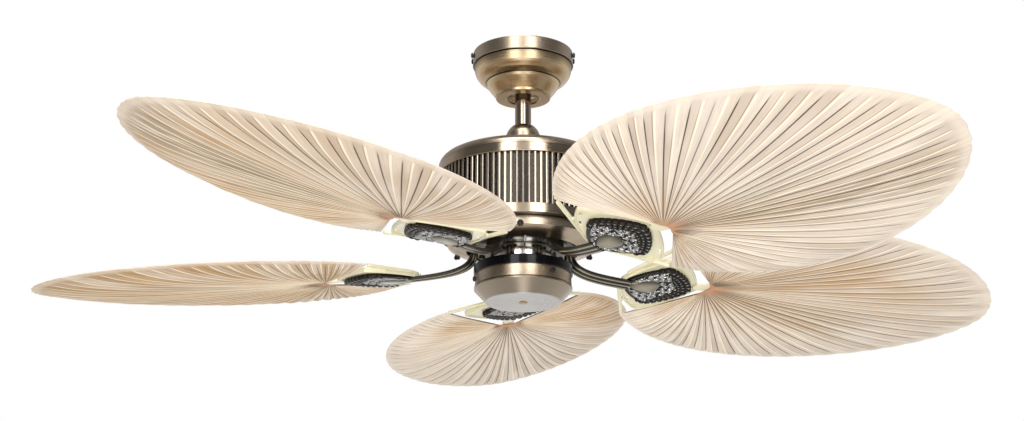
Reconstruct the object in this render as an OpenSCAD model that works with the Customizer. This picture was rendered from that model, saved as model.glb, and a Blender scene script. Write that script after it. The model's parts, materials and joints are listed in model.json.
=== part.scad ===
// Ceiling fan with five pleated palm-leaf blades, hung from a ball in a bracket.
// The origin is the middle of the bracket's face on the ceiling, and +Z points up.
// An azimuth is counted from -Y towards +X, which is the way the fan is looked at.

/* [Ceiling mount] */
// Radius of the canopy's rim
canopy_r = 66.7; // [64:0.1:74]
// Height of the canopy, from its rim to its lower annulus
canopy_h = 64.5; // [62:0.5:76]
// Sheet thickness of the canopy and of the other pressed shells
sheet_t = 1.2; // [0.8:0.1:1.6]
// Radius of the hole that the downrod swings in
canopy_hole_r = 21.9; // [20:0.1:26]
// Thickness of the hanger bracket's steel
bracket_t = 2.5; // [2:0.1:3.5]
// Width of the hanger bracket
bracket_w = 36; // [30:1:44]
// Distance between the two ceiling screws
slot_spacing = 89; // [80:0.5:94]
// Length of each ceiling slot, from end to end
slot_length = 14; // [10:0.5:18]
// Half the width of each ceiling slot
slot_r = 2.6; // [2.2:0.1:3]
// Distance from the ceiling to the middle of the hanger ball
ball_drop = 34; // [31:0.5:38]
// Radius of the hanger ball
ball_r = 20; // [18:0.5:22]

/* [Downrod and coupling] */
// Outer radius of the downrod
rod_r = 10.65; // [9.5:0.05:11.5]
// Wall thickness of the downrod
rod_wall = 1.8; // [1.4:0.1:2.6]
// Length of the downrod
rod_len = 120; // [110:1:500]
// Radius of the clevis pin and of the pin through the ball
pin_r = 3; // [2.5:0.1:3.5]
// Radius of the coupling cover below its dome
cover_r = 22.5; // [21.5:0.1:24]
// Radius of the coupling cover's foot
cover_foot_r = 33; // [31:0.5:38]

/* [Motor housing] */
// Radius of the housing's upper and lower bands
housing_r = 111.2; // [108:0.1:118]
// Height of the domed cap with its band
cap_h = 24.3; // [20:0.1:30]
// Height of the ribbed sleeve
sleeve_h = 68.4; // [64:0.1:90]
// Number of ribs round the sleeve
rib_count = 88; // [60:1:96]
// Depth of the grooves between the ribs
rib_depth = 3.4; // [2:0.1:4]
// Height of the lower band
band_h = 12.5; // [8:0.5:16]
// Height of the narrower ring under the band
ring_h = 11.9; // [9:0.1:16]
// Radius of the narrower ring
ring_r = 98.6; // [96:0.1:102]
// Height of the bowl under the ring
bowl_h = 8.2; // [6:0.1:12]
// Radius of the bowl's opening
bowl_hole_r = 73.8; // [73:0.1:80]

/* [Motor] */
// Radius of the fixed shaft
shaft_r = 8; // [7:0.1:8.5]
// Outer radius of the rotor's shells
rotor_r = 84; // [80:0.5:88]
// Radius of the stator's laminations
stator_r = 60; // [54:0.5:64]
// Number of stator teeth
tooth_count = 18; // [12:1:24]
// Radius of the flywheel that the blade irons bolt to
flywheel_r = 70; // [68:0.5:71]
// Radius of the flywheel's bright skirt
skirt_r = 43; // [40:0.5:44]

/* [Switch housing] */
// Radius of the black plate over the switch cup
plate_r = 64; // [62:0.1:68]
// Height of the black plate's side
plate_h = 12; // [9:0.5:15]
// Height of the switch cup below the plate
cup_h = 35.7; // [32:0.1:45]
// Radius of the switch cup's flat bottom
cup_bottom_r = 48.2; // [42:0.1:52]

/* [Blades] */
// Sweep of the blades, from tip to tip
sweep = 1420; // [1320:10:1420]
// How much shorter than the sweep's radius each leaf in turn is cut
leaf_trim = [0, 0, 0, 0, 28];
// Pitch of each blade in turn: the leaves are set by hand and differ a little
blade_pitch = [-9.2, -15.4, -13.7, -9.6, -7.8];
// Azimuth of each blade in turn
blade_azimuth = [-32.2, 37.9, 112.6, 183.7, 257.7];
// Upward slope of the blades towards their tips
blade_rise = 0.32; // [0:0.01:2]
// Distance from the axis to the leaf oval's unseen inner end
leaf_start = 138.9; // [136:0.1:144]
// Width of a leaf
leaf_w = 360; // [300:1:370]
// Number of pleats in a leaf
pleat_count = 58; // [40:2:60]
// How much closer the pleats stand at the notch than at the tip: 0 is even
pleat_spread = 0.58; // [0:0.02:0.7]
// Greatest depth of the pleats, a little inside the leaf's edge
pleat_depth = 5; // [3:0.5:6]
// Thickness of a leaf with its stiffener
leaf_t = 1.6; // [1.2:0.1:2]
// Distance from the axis to the crest that each leaf's pleats start from
leaf_root_r = [270, 262, 260, 268, 264];
// How far the middle of each leaf's crest stands to one side
leaf_root_w = [-2, 14, -10, 6, 0];
// Half the width of the crest
crest_w = 12; // [8:0.5:13]
// How far the crest lies below the leaf's edge
leaf_dip = 8; // [6:0.5:9]
// How far the leaf is dished besides, before it curls up to its edge
leaf_dish = 20; // [0:1:24]
// Half angle that the leaf covers, as a phase of its oval
leaf_phase = 148.5; // [146:0.5:150]

/* [Blade irons] */
// Width of an iron's arm
arm_w = 26; // [20:0.5:28]
// Thickness of an iron's arm at its root
arm_t = 7.5; // [6:0.5:8]
// Distance from the axis to the middle of the medallion
medallion_mid_r = 191; // [189:0.5:193]
// Half length of the medallion
medallion_a = 51; // [48:0.5:52]
// Half width of the medallion
medallion_b = 47; // [42:0.5:49]
// Thickness of the medallion's plate
medallion_t = 4; // [3.8:0.1:5]
// Number of lobes round the medallion's outer edge
lobe_count = 19; // [15:2:19]

/* [Blade frames] */
// Thickness of a blade frame's plate
frame_t = 3; // [2.5:0.1:4]
// Width of a blade frame's struts
strut_w = 5; // [3:0.1:6]

/* [Hidden] */
$fn = 64;
// Gap of a fit between two pieces that don't move
fit = 0.3;
// Radial gap of a screw or pin in its hole
hole_gap = 0.1;
// Radial gap of a running fit
running = 0.04;
// Least thickness that a cutting tool reaches past a face
past = 1;

canopy_gap = 0.5;
ball_z = -ball_drop;
ball_half_h = 13;
seat_t = 3;
seat_low = 12.5;
seat_high = 1;
swing_tab_w = 3;
ear_h = 17.5;
ear_x = canopy_r - 4.2;
canopy_screw_y = 10.3;
canopy_screw_z = -6.4;
canopy_screw_r = 2;
canopy_screw_head_r = 3.75;
canopy_screw_head_h = 2.6;

rod_top_z = ball_z + 14;
rod_bottom_z = rod_top_z - rod_len;
ball_pin_z = ball_z + 6;
yoke_socket = 22;
yoke_r = 16;
yoke_floor = 6;
yoke_flange_t = 5.5;
yoke_flange_r = 26.6;
yoke_collar_r = 15;
yoke_collar_h = 18.5;
clevis_z = rod_bottom_z + 12;
set_screw_z = rod_bottom_z + 5;
yoke_screw_r = 2;
yoke_screw_pcd_r = 21;
cap_z = rod_bottom_z - yoke_floor - yoke_flange_t;
cover_top_z = rod_bottom_z + 36.5;

sleeve_z = cap_z - cap_h;
band_z = sleeve_z - sleeve_h;
ring_z = band_z - band_h;
bowl_z = ring_z - ring_h;
bowl_low_z = bowl_z - bowl_h;
rib_r = housing_r - 2.2;
sleeve_bore_r = housing_r - 7.7;
band_r = housing_r - 0.9;
// The stays stand in the gap between the rotor and the sleeve, this share of it in from the sleeve
stay_share = 0.585;
stay_pcd_r = sleeve_bore_r - stay_share * (sleeve_bore_r - rotor_r);
stay_r = 3;
// Width of the cap's shoulder, from the stays out to its side
shoulder_w = housing_r - stay_pcd_r - stay_r;
housing_screw_azimuth = [-2, 120, 240];
housing_screw_tilt = 30;
housing_screw_r = 2.2;

motor_z = (sleeve_z + bowl_z) / 2;
rotor_half_h = 36;
rotor_seat_r = stator_r + 12;
rotor_seat_h = 19;
rotor_wall = 4;
rotor_boss_h = 5;
bearing_r = 16;
bearing_h = 10;
stator_half_h = 17;
flywheel_top_z = motor_z - rotor_half_h - rotor_boss_h;
hub_ring_r = bearing_r + 14;
hub_screw_pcd_r = bearing_r + 10.5;
flywheel_z = bowl_low_z + 5.8;
plate_z = bowl_low_z - 20.2;
skirt_gap = 1.5;
cup_z = plate_z - plate_h;
cup_low_z = cup_z - cup_h;
cup_r = plate_r - 2.1;
shaft_top_z = rod_bottom_z - 4;
shaft_low_z = plate_z - 21;
cup_screw_z = cup_z - 6;
cup_screw_azimuth = [37, 157, 277];
cup_screw_r = 1.9;

blade_z = flywheel_z - 25.7;
leaf_mid_r = (leaf_start + sweep / 2) / 2;
leaf_a = (sweep / 2 - leaf_start) / 2;
leaf_b = leaf_w / 2;
// The oval is wider towards the hub by this share, and a little fuller than an ellipse is not
leaf_taper = -0.121;
leaf_power = 1.106;
leaf_rings = [0.015, 0.4, 0.72, 0.9, 1];
// The pleats are pressed flat into the hem at the edge, down to this share of their depth
leaf_hem = 0.3;

medallion_top = -4.5;
medallion_low = medallion_top - medallion_t;
medallion_power = 1.4;
lobe_r = 5.4;
boss_r = 167;
boss_a = 23;
boss_b = 18;
flange_in_r = skirt_r + 1;
flange_out_r = flywheel_r - 1;
flange_t = 4.5;
flange_half_angle = 23;
iron_screw_r = 2.5;
iron_screw_pcd_r = 60.5;
iron_screw_angle = 15;
blade_screw_r = 2.4;
blade_screw_places = [[154.5, 13], [154.5, -13], [222, 0]];
frame_mid_r = medallion_mid_r + 2;
frame_a = [53, 59];
frame_b = 70;
frame_power = [1.4, 1.22];
frame_lip_w = 2.6;
frame_lip_low = -6.5;
frame_lip_high = 1;
strut_low = -3;
strut_h = 4.2;
tongue_w = 16;
tongue_past = 11;
tongue_low = -6.9;

brass = "#a08c6c";
bright_steel = "#c9c8c4";
black_steel = "#1e1e20";
zinc = "#b5b7ba";
cast_alloy = "#8c8f92";
antique_iron = "#4a4738";
cream_plastic = "#e3dbbd";
bleached_leaf = "#e9dcc5";
copper = "#b06a3a";

// ---- Shapes that several pieces share ----

// Turns what it holds to an azimuth: +X of the children points outwards
module at_azimuth(a) {
    rotate([0, 0, a - 90]) children();
}

// A tube or disc round the Z axis, from z0 up to z1
module ring(r_out, r_in, z0, z1) {
    translate([0, 0, z0]) difference() {
        cylinder(r = r_out, h = z1 - z0, $fn = 96);
        if (r_in > 0) translate([0, 0, -past]) cylinder(r = r_in, h = z1 - z0 + 2 * past, $fn = 96);
    }
}

// A pan-head screw along +X: the head's seat is at x = 0 and its shank points to -X
module screw(shank_r, shank_l, head_r, head_h) {
    rotate([0, 90, 0]) rotate_extrude($fn = 32) polygon([
        [0, -shank_l], [shank_r, -shank_l], [shank_r, 0], [head_r, 0], [head_r, head_h * 0.45],
        [head_r * 0.86, head_h * 0.8], [head_r * 0.5, head_h], [head_r * 0.16, head_h],
        [0, head_h * 0.6]]);
}

// Points of a quarter oval that starts upright at [r0, z0] and heads for [r1, z1]: 2 is an ellipse
function quarter(r0, z0, r1, z1, stop = 90, steps = 6, power = 2) =
    [for (i = [0:steps]) let (a = stop * i / steps)
        [r1 + (r0 - r1) * pow(cos(a), 2 / power), z0 + (z1 - z0) * pow(sin(a), 2 / power)]];

// Closed profile of a shell: the outer points, and the same points moved in by the sheet
function shell_profile(outer, t, lift) =
    concat(outer, [for (i = [len(outer) - 1:-1:0]) [outer[i][0] - t, outer[i][1] + lift]]);

// ---- Ceiling mount ----

module slot_cut(length, r, depth) {
    for (side = [-1, 1]) {
        translate([side * (length / 2 - r), 0, -depth]) cylinder(r = r, h = 2 * depth, $fn = 32);
    }
    cube([length - 2 * r, 2 * r, 2 * depth], center = true);
}

module hanger_bracket() {
    seat_in_r = ball_r + fit;
    seat_out_r = seat_in_r + seat_t;
    color(zinc) difference() {
        union() {
            translate([-ear_x, -bracket_w / 2, -bracket_t]) cube([2 * ear_x, bracket_w, bracket_t]);
            for (side = [-1, 1]) {
                translate([side * (ear_x - bracket_t / 2), 0, -ear_h / 2])
                    cube([bracket_t, 2 * canopy_screw_y + 8, ear_h], center = true);
                translate([side * (seat_out_r - bracket_t / 2), 0, (ball_z - seat_low) / 2])
                    cube([bracket_t, 22, -ball_z + seat_low], center = true);
            }
            ball_seat(seat_in_r, seat_out_r);
            // The tab that keeps the ball from turning
            translate([-swing_tab_w / 2, -seat_out_r + 1, ball_z - seat_low])
                cube([swing_tab_w, seat_out_r - 17.5, seat_low - seat_high]);
        }
        for (side = [-1, 1]) {
            translate([side * slot_spacing / 2, 0, -bracket_t / 2])
                slot_cut(slot_length, slot_r, bracket_t);
            for (y = [-canopy_screw_y, canopy_screw_y]) {
                translate([side * ear_x, y, canopy_screw_z]) rotate([0, 90, 0])
                    cylinder(r = canopy_screw_r + hole_gap, h = 4 * bracket_t, center = true, $fn = 32);
            }
        }
        // The ball goes in over the seat, and the rod through this gap in its wall
        translate([-rod_r - 1.2, 0, ball_z - seat_low - past])
            cube([2 * rod_r + 2.4, seat_out_r + past, seat_low]);
    }
}

// The spherical seat, cut off below and above
module ball_seat(in_r, out_r) {
    intersection() {
        difference() {
            translate([0, 0, ball_z]) sphere(r = out_r);
            translate([0, 0, ball_z]) sphere(r = in_r);
        }
        translate([-out_r - past, -out_r - past, ball_z - seat_low])
            cube([2 * (out_r + past), 2 * (out_r + past), seat_low - seat_high]);
    }
}

module canopy() {
    rim_z = -canopy_gap;
    low_z = rim_z - canopy_h;
    step1_z = rim_z - 18.5;
    step2_z = rim_z - canopy_h * 0.665;
    lip_z = low_z + 4.2;
    lip_r = canopy_r - 30.1;
    outer = concat(
        [[canopy_r - 0.5, rim_z], [canopy_r, rim_z - 1.2], [canopy_r, step1_z + 2],
            [canopy_r + 0.5, step1_z + 0.9], [canopy_r - 0.2, step1_z]],
        [[canopy_r - 2.2, step1_z - 0.4], [canopy_r - 2.4, step1_z - 1.6]],
        quarter(canopy_r - 2, step1_z - 2.2, canopy_r - 22.7, step2_z - 0.4, 76, 9),
        [for (u = [0:0.2:1])
            [canopy_r - 18 - 11.4 * pow(u, 1.25), step2_z - 0.7 - (step2_z - 1 - lip_z) * u]],
        [[lip_r + 0.2, lip_z - 0.4], [lip_r, lip_z - 1.4], [lip_r - 0.3, low_z + 0.9],
            [lip_r - 0.9, low_z + 0.2], [lip_r - 1.9, low_z]]);
    color(brass) difference() {
        rotate_extrude($fn = 128) polygon(concat(outer,
            [[canopy_hole_r + 0.8, low_z], [canopy_hole_r, low_z + 0.6],
                [canopy_hole_r, low_z + 2], [lip_r - sheet_t - 1.2, low_z + sheet_t + 0.8]],
            [for (i = [len(outer) - 4:-1:0]) [outer[i][0] - sheet_t, outer[i][1]]]));
        for (side = [-1, 1]) {
            for (y = [-canopy_screw_y, canopy_screw_y]) {
                translate([side * canopy_r, y, canopy_screw_z]) rotate([0, 90, 0])
                    cylinder(r = canopy_screw_r + 2 * hole_gap, h = 14, center = true, $fn = 32);
            }
        }
    }
}

module canopy_screws() {
    color(black_steel) for (side = [0, 180]) {
        rotate([0, 0, side]) for (y = [-canopy_screw_y, canopy_screw_y]) {
            translate([canopy_r + 0.1, y, canopy_screw_z])
                screw(canopy_screw_r, canopy_r - ear_x + bracket_t + 1.5,
                    canopy_screw_head_r, canopy_screw_head_h);
        }
    }
}

// ---- Hanger ball, downrod and coupling ----

module hanger_ball() {
    color("#2c2a28") difference() {
        intersection() {
            translate([0, 0, ball_z]) sphere(r = ball_r);
            translate([-ball_r, -ball_r, ball_z - ball_half_h])
                cube([2 * ball_r, 2 * ball_r, 2 * ball_half_h]);
        }
        translate([0, 0, ball_z - ball_r]) cylinder(r = rod_r + hole_gap, h = 2 * ball_r);
        // Keyway for the bracket's tab, wide enough for the swing
        translate([-swing_tab_w / 2 - 2.6, -ball_r - past, ball_z - ball_half_h - past])
            cube([swing_tab_w + 5.2, ball_r - 16.2 + past, ball_half_h + past + 1]);
        translate([0, 0, ball_pin_z]) rotate([0, 90, 0])
            cylinder(r = pin_r + hole_gap, h = 2 * ball_r + 2 * past, center = true, $fn = 32);
    }
}

module ball_cross_pin() {
    color(zinc) translate([0, 0, ball_pin_z]) rotate([0, 90, 0])
        cylinder(r = pin_r, h = 2 * ball_r - 6, center = true, $fn = 32);
}

module downrod() {
    color(brass) difference() {
        translate([0, 0, rod_bottom_z]) cylinder(r = rod_r, h = rod_len);
        translate([0, 0, rod_bottom_z - past]) cylinder(r = rod_r - rod_wall, h = rod_len + 2 * past);
        for (z = [ball_pin_z, clevis_z]) {
            translate([0, 0, z]) rotate([0, 90, 0])
                cylinder(r = pin_r + hole_gap, h = 2 * rod_r + 2 * past, center = true, $fn = 32);
        }
    }
}

module coupling_cover() {
    foot_z = cap_z + 0.1;
    outer = quarter(cover_r, cover_top_z - 14.5, rod_r + fit + sheet_t, cover_top_z, 90, 8, 1.5);
    side = [[cover_r + 0.5, (cover_top_z + foot_z) / 2 - 2], [cover_r + 2.5, foot_z + 11],
        [cover_foot_r - 4, foot_z + 4.5], [cover_foot_r, foot_z]];
    color(brass) rotate_extrude($fn = 96) polygon(concat(
        [for (i = [len(outer) - 1:-1:0]) outer[i]], side,
        [for (i = [len(side) - 1:-1:0]) [side[i][0] - sheet_t * 1.3, side[i][1]]],
        [for (p = outer) [max(rod_r + fit, p[0] - sheet_t), p[1] - sheet_t]]));
}

module motor_yoke() {
    color(cast_alloy) difference() {
        union() {
            ring(yoke_r, 0, rod_bottom_z - yoke_floor, rod_bottom_z + yoke_socket);
            ring(yoke_flange_r, 0, cap_z, cap_z + yoke_flange_t);
            ring(yoke_collar_r, 0, cap_z - yoke_collar_h, cap_z + past);
        }
        translate([0, 0, rod_bottom_z]) cylinder(r = rod_r + hole_gap, h = yoke_socket + past);
        translate([0, 0, cap_z - yoke_collar_h - past])
            cylinder(r = shaft_r + 0.02, h = shaft_top_z - cap_z + yoke_collar_h + past, $fn = 96);
        // Way for the wires between the rod and the hollow shaft
        translate([0, 0, shaft_top_z - past]) cylinder(r = shaft_r / 2, h = 6 + past, $fn = 32);
        translate([0, 0, clevis_z]) rotate([0, 90, 0])
            cylinder(r = pin_r + hole_gap, h = 2 * yoke_r + 2 * past, center = true, $fn = 32);
        translate([0, 0, set_screw_z]) rotate([90, 0, 0])
            cylinder(r = yoke_screw_r + hole_gap, h = 2 * yoke_r + 2 * past, center = true, $fn = 32);
        for (a = [0:120:240]) {
            rotate([0, 0, a]) translate([yoke_screw_pcd_r, 0, cap_z - past])
                cylinder(r = yoke_screw_r + hole_gap, h = yoke_flange_t + 2 * past, $fn = 32);
        }
    }
}

module clevis_pin() {
    color(zinc) translate([0, 0, clevis_z]) rotate([0, 90, 0])
        cylinder(r = pin_r, h = 2 * yoke_r + 5, center = true, $fn = 32);
}

module yoke_set_screws() {
    color(black_steel) for (side = [0, 180]) {
        rotate([0, 0, 90 + side]) translate([rod_r + hole_gap / 2, 0, set_screw_z])
            rotate([0, 90, 0]) cylinder(r = yoke_screw_r, h = yoke_r - rod_r + 1, $fn = 32);
    }
}

module yoke_screws() {
    color(zinc) for (a = [0:120:240]) {
        rotate([0, 0, a]) translate([yoke_screw_pcd_r, 0, cap_z - sheet_t - 0.05]) rotate([0, 90, 0])
            screw(yoke_screw_r, yoke_flange_t + sheet_t, 3.6, 2.4);
    }
}

// ---- Motor housing ----

module housing_top() {
    seat_z = sleeve_z;
    flat_r = housing_r - 0.87 * shoulder_w;
    dome_r = housing_r - 0.745 * shoulder_w;
    outer = concat([[flat_r, cap_z]],
        [for (i = [6:-1:0]) quarter(housing_r, cap_z - 12.8, dome_r, cap_z, 84, 6)[i]],
        [[housing_r, sleeve_z + 11.8], [housing_r - 0.5, sleeve_z + 11.5],
            [housing_r, sleeve_z + 11.1], [housing_r, sleeve_z + 0.4], [housing_r - 0.4, sleeve_z]]);
    color(brass) difference() {
        rotate_extrude($fn = 128) polygon(concat([[yoke_collar_r + fit, cap_z]], outer,
            [[sleeve_bore_r, seat_z], [sleeve_bore_r, seat_z + 3],
                [housing_r - sheet_t, seat_z + 4.5], [housing_r - sheet_t, cap_z - 12],
                [housing_r - 0.31 * shoulder_w, cap_z - 5], [flat_r, cap_z - sheet_t],
                [yoke_collar_r + fit, cap_z - sheet_t]]));
        for (a = [0:120:240]) {
            rotate([0, 0, a]) translate([yoke_screw_pcd_r, 0, cap_z])
                cylinder(r = yoke_screw_r + hole_gap, h = 6, center = true, $fn = 32);
        }
        // Vents that only show from above
        for (a = [15:30:345]) {
            rotate([0, 0, a]) translate([(cover_foot_r + housing_r) / 2, 0, cap_z])
                slot_cut(34, 2.5, 3);
        }
    }
}

module ribbed_sleeve() {
    pitch = 360 / rib_count;
    groove_r = rib_r - rib_depth;
    // Share of a rib's pitch at which its profile turns, and the radius there
    profile = [[-0.24, rib_r - 0.5], [-0.1, rib_r], [0.1, rib_r], [0.24, rib_r - 0.5],
        [0.3, groove_r], [0.7, groove_r]];
    color("#77715f") translate([0, 0, band_z]) difference() {
        linear_extrude(sleeve_h) polygon([for (i = [0:rib_count - 1]) for (p = profile)
            let (a = (i + p[0]) * pitch) [p[1] * sin(a), -p[1] * cos(a)]]);
        translate([0, 0, -past]) cylinder(r = sleeve_bore_r, h = sleeve_h + 2 * past, $fn = 128);
    }
}

module housing_bottom() {
    bowl = [for (i = [0:8]) let (a = 90 * i / 8)
        [bowl_hole_r + (ring_r - 1 - bowl_hole_r) * (1 - sin(a) * sin(a) * 0.35 - a / 90 * 0.65),
            bowl_z - 0.6 - (bowl_h - 0.6) * (a / 90 * 0.7 + 0.3 * sin(a))]];
    color(brass) difference() {
        rotate_extrude($fn = 128) polygon(concat(
            [[sleeve_bore_r, band_z], [band_r - 0.4, band_z], [band_r, band_z - 0.4],
                [band_r, ring_z + 0.5], [band_r - 0.5, ring_z],
                [ring_r + 0.6, ring_z], [ring_r, ring_z - 0.6], [ring_r, bowl_z]],
            bowl,
            [for (i = [8:-1:0]) [bowl[i][0] - 0.4, bowl[i][1] + sheet_t]],
            [[ring_r - sheet_t, bowl_z + 1], [ring_r - sheet_t, ring_z + sheet_t],
                [band_r - sheet_t, ring_z + sheet_t], [band_r - sheet_t, band_z - 3],
                [sleeve_bore_r, band_z - 3]]));
        for (a = housing_screw_azimuth) {
            housing_screw_place(a) rotate([0, 90, 0])
                cylinder(r = housing_screw_r + hole_gap, h = 12, center = true, $fn = 32);
        }
    }
}

// The screws stand square on the corner between the ring and the bowl
module housing_screw_place(a) {
    at_azimuth(a) translate([ring_r - 0.6, 0, bowl_z + 1.5]) rotate([0, housing_screw_tilt, 0])
        children();
}

module housing_stays() {
    foot_z = bowl_z + 1.2;
    post_z = foot_z + ring_h + 0.2;
    color(zinc) difference() {
        for (a = housing_screw_azimuth) {
            at_azimuth(a) {
                translate([stay_pcd_r, 0, post_z]) cylinder(r = stay_r, h = cap_z - sheet_t - post_z);
                translate([stay_pcd_r - 4, -6, foot_z])
                    cube([ring_r - sheet_t - fit - stay_pcd_r + 4, 12, ring_h + 0.7]);
            }
        }
        for (a = housing_screw_azimuth) {
            housing_screw_place(a) rotate([0, 90, 0])
                cylinder(r = housing_screw_r + hole_gap, h = 2 * (ring_r - stay_pcd_r + 4) + 5,
                    center = true, $fn = 32);
        }
    }
}

module housing_screws() {
    color(black_steel) for (a = housing_screw_azimuth) {
        housing_screw_place(a) translate([1.6, 0, 0]) {
            screw(housing_screw_r, 10, 3.2, 6);
            rotate([0, 90, 0]) cylinder(r = 4.2, h = 2.2, $fn = 32);
        }
    }
}

// ---- Motor ----

module motor_shaft() {
    groove_z = motor_z - rotor_half_h - 6.8;
    color(zinc) rotate_extrude($fn = 96) polygon([[shaft_r / 2, shaft_low_z], [shaft_r - 0.6, shaft_low_z],
        [shaft_r, shaft_low_z + 0.6], [shaft_r, groove_z], [shaft_r - 0.8, groove_z],
        [shaft_r - 0.8, groove_z + 1.8], [shaft_r, groove_z + 1.8], [shaft_r, shaft_top_z],
        [shaft_r / 2, shaft_top_z]]);
}

module shaft_circlip() {
    groove_z = motor_z - rotor_half_h - 6.8;
    color(black_steel) difference() {
        ring(shaft_r + 2.4, shaft_r - 0.6, groove_z + 0.1, groove_z + 1.7);
        translate([0, 0, groove_z]) rotate([0, 0, -20]) cube([20, 6, 4]);
    }
}

module stator_core() {
    pitch = 360 / tooth_count;
    neck = 0.2;
    head = 0.42;
    yoke_ring_r = stator_r * 0.55;
    color("#6d6f72") translate([0, 0, motor_z - stator_half_h]) difference() {
        linear_extrude(2 * stator_half_h) polygon([for (i = [0:tooth_count - 1])
            for (p = [[-neck, yoke_ring_r], [-neck, stator_r - 4], [-head, stator_r - 3],
                [-head, stator_r], [0, stator_r], [head, stator_r], [head, stator_r - 3],
                [neck, stator_r - 4], [neck, yoke_ring_r]])
            let (a = (i + p[0] * min(1, 44 / p[1])) * pitch) p[1] * [cos(a), sin(a)]]);
        translate([0, 0, -past]) cylinder(r = shaft_r, h = 2 * stator_half_h + 2 * past, $fn = 96);
    }
}

module stator_windings() {
    color(copper) for (side = [0, 180]) {
        translate([0, 0, motor_z]) rotate([side, 0, 0]) rotate_extrude($fn = 64)
            polygon([[30, stator_half_h + 0.2], [stator_r - 4, stator_half_h + 0.2],
                [stator_r - 4, stator_half_h + 8], [stator_r - 7, stator_half_h + 11],
                [33, stator_half_h + 11], [30, stator_half_h + 8]]);
    }
}

// One half of the rotor's case, upright and above z = 0
module rotor_half() {
    seat_r = rotor_seat_r + 0.02;
    top = rotor_half_h;
    difference() {
        rotate_extrude($fn = 96) polygon([[seat_r, 0], [rotor_r, 0], [rotor_r, top - 8],
            [rotor_r - 2.4, top - 2.4], [rotor_r - 8, top], [hub_ring_r, top],
            [hub_ring_r, top + rotor_boss_h],
            [shaft_r + 2.8, top + rotor_boss_h], [shaft_r + 2.8, top + rotor_boss_h - 1.4],
            [bearing_r + 0.02, top + rotor_boss_h - 1.4],
            [bearing_r + 0.02, top + rotor_boss_h - 1.4 - bearing_h - 0.1],
            [hub_ring_r - 6, top - rotor_wall - 2.6], [hub_ring_r, top - rotor_wall],
            [seat_r - 4, top - rotor_wall],
            [seat_r - 4, rotor_seat_h], [seat_r, rotor_seat_h]]);
        // Cooling windows round the shoulder
        for (a = [0:30:330]) {
            rotate([0, 0, a]) translate([(hub_ring_r + rotor_r) / 2 - 2, 0, top]) slot_cut(22, 3, 8);
        }
    }
}

module rotor_upper_shell() {
    color(cast_alloy) translate([0, 0, motor_z]) difference() {
        rotor_half();
        shell_screw_holes();
    }
}

module rotor_lower_shell() {
    color(cast_alloy) translate([0, 0, motor_z]) mirror([0, 0, 1]) difference() {
        rotor_half();
        shell_screw_holes();
        for (a = [0:120:240]) {
            rotate([0, 0, a]) translate([hub_screw_pcd_r, 0, rotor_half_h - 4])
                cylinder(r = 1.6 + hole_gap, h = 20, $fn = 32);
        }
    }
}

module shell_screw_holes() {
    for (a = [15:72:303]) {
        rotate([0, 0, a]) translate([rotor_r - 5, 0, -past])
            cylinder(r = 2 + hole_gap, h = 16 + past, $fn = 32);
    }
}

module rotor_shell_screws() {
    color(zinc) for (a = [15:72:303]) {
        rotate([0, 0, a]) translate([rotor_r - 5, 0, motor_z - 15]) cylinder(r = 2, h = 30, $fn = 32);
    }
}

module rotor_cage() {
    color(zinc) ring(rotor_seat_r, stator_r + 0.5, motor_z - rotor_seat_h, motor_z + rotor_seat_h);
}

module bearing(z) {
    mid = (shaft_r + bearing_r) / 2;
    color(bright_steel) translate([0, 0, z]) rotate_extrude($fn = 96) polygon([
        [shaft_r + running, 0], [mid - 1.2, 0], [mid - 1.2, 0.8], [mid + 1.2, 0.8], [mid + 1.2, 0],
        [bearing_r, 0], [bearing_r, bearing_h], [mid + 1.2, bearing_h], [mid + 1.2, bearing_h - 0.8],
        [mid - 1.2, bearing_h - 0.8], [mid - 1.2, bearing_h], [shaft_r + running, bearing_h]]);
}

module upper_bearing() {
    bearing(motor_z + rotor_half_h + rotor_boss_h - 1.4 - bearing_h - 0.05);
}

module lower_bearing() {
    bearing(motor_z - rotor_half_h - rotor_boss_h + 1.4 + 0.05);
}

module flywheel() {
    skirt_low_z = plate_z + skirt_gap;
    color(bright_steel) difference() {
        union() {
            ring(flywheel_r, 0, flywheel_z, flywheel_z + 5);
            ring(hub_ring_r, 0, flywheel_z, flywheel_top_z);
            ring(skirt_r, 0, skirt_low_z, flywheel_z + past);
        }
        translate([0, 0, skirt_low_z - past]) cylinder(r = shaft_r + 2.8,
            h = flywheel_top_z - skirt_low_z + 2 * past, $fn = 64);
        translate([0, 0, skirt_low_z - past])
            cylinder(r = skirt_r - 4, h = flywheel_z - skirt_low_z + past, $fn = 96);
        for (a = [0:120:240]) {
            rotate([0, 0, a]) translate([hub_screw_pcd_r, 0, flywheel_z - past])
                cylinder(r = 1.6 + hole_gap, h = 30, $fn = 32);
        }
        for (i = [0:4]) {
            iron_screw_places(i) translate([0, 0, -past])
                cylinder(r = iron_screw_r + hole_gap, h = 5 + 2 * past, $fn = 32);
        }
    }
}

module flywheel_screws() {
    color(black_steel) for (a = [0:120:240]) {
        rotate([0, 0, a]) translate([hub_screw_pcd_r, 0, flywheel_z - 0.05]) rotate([0, 90, 0])
            screw(1.6, flywheel_top_z - flywheel_z + 5, 3, 2.2);
    }
}

// ---- Switch housing ----

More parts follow.
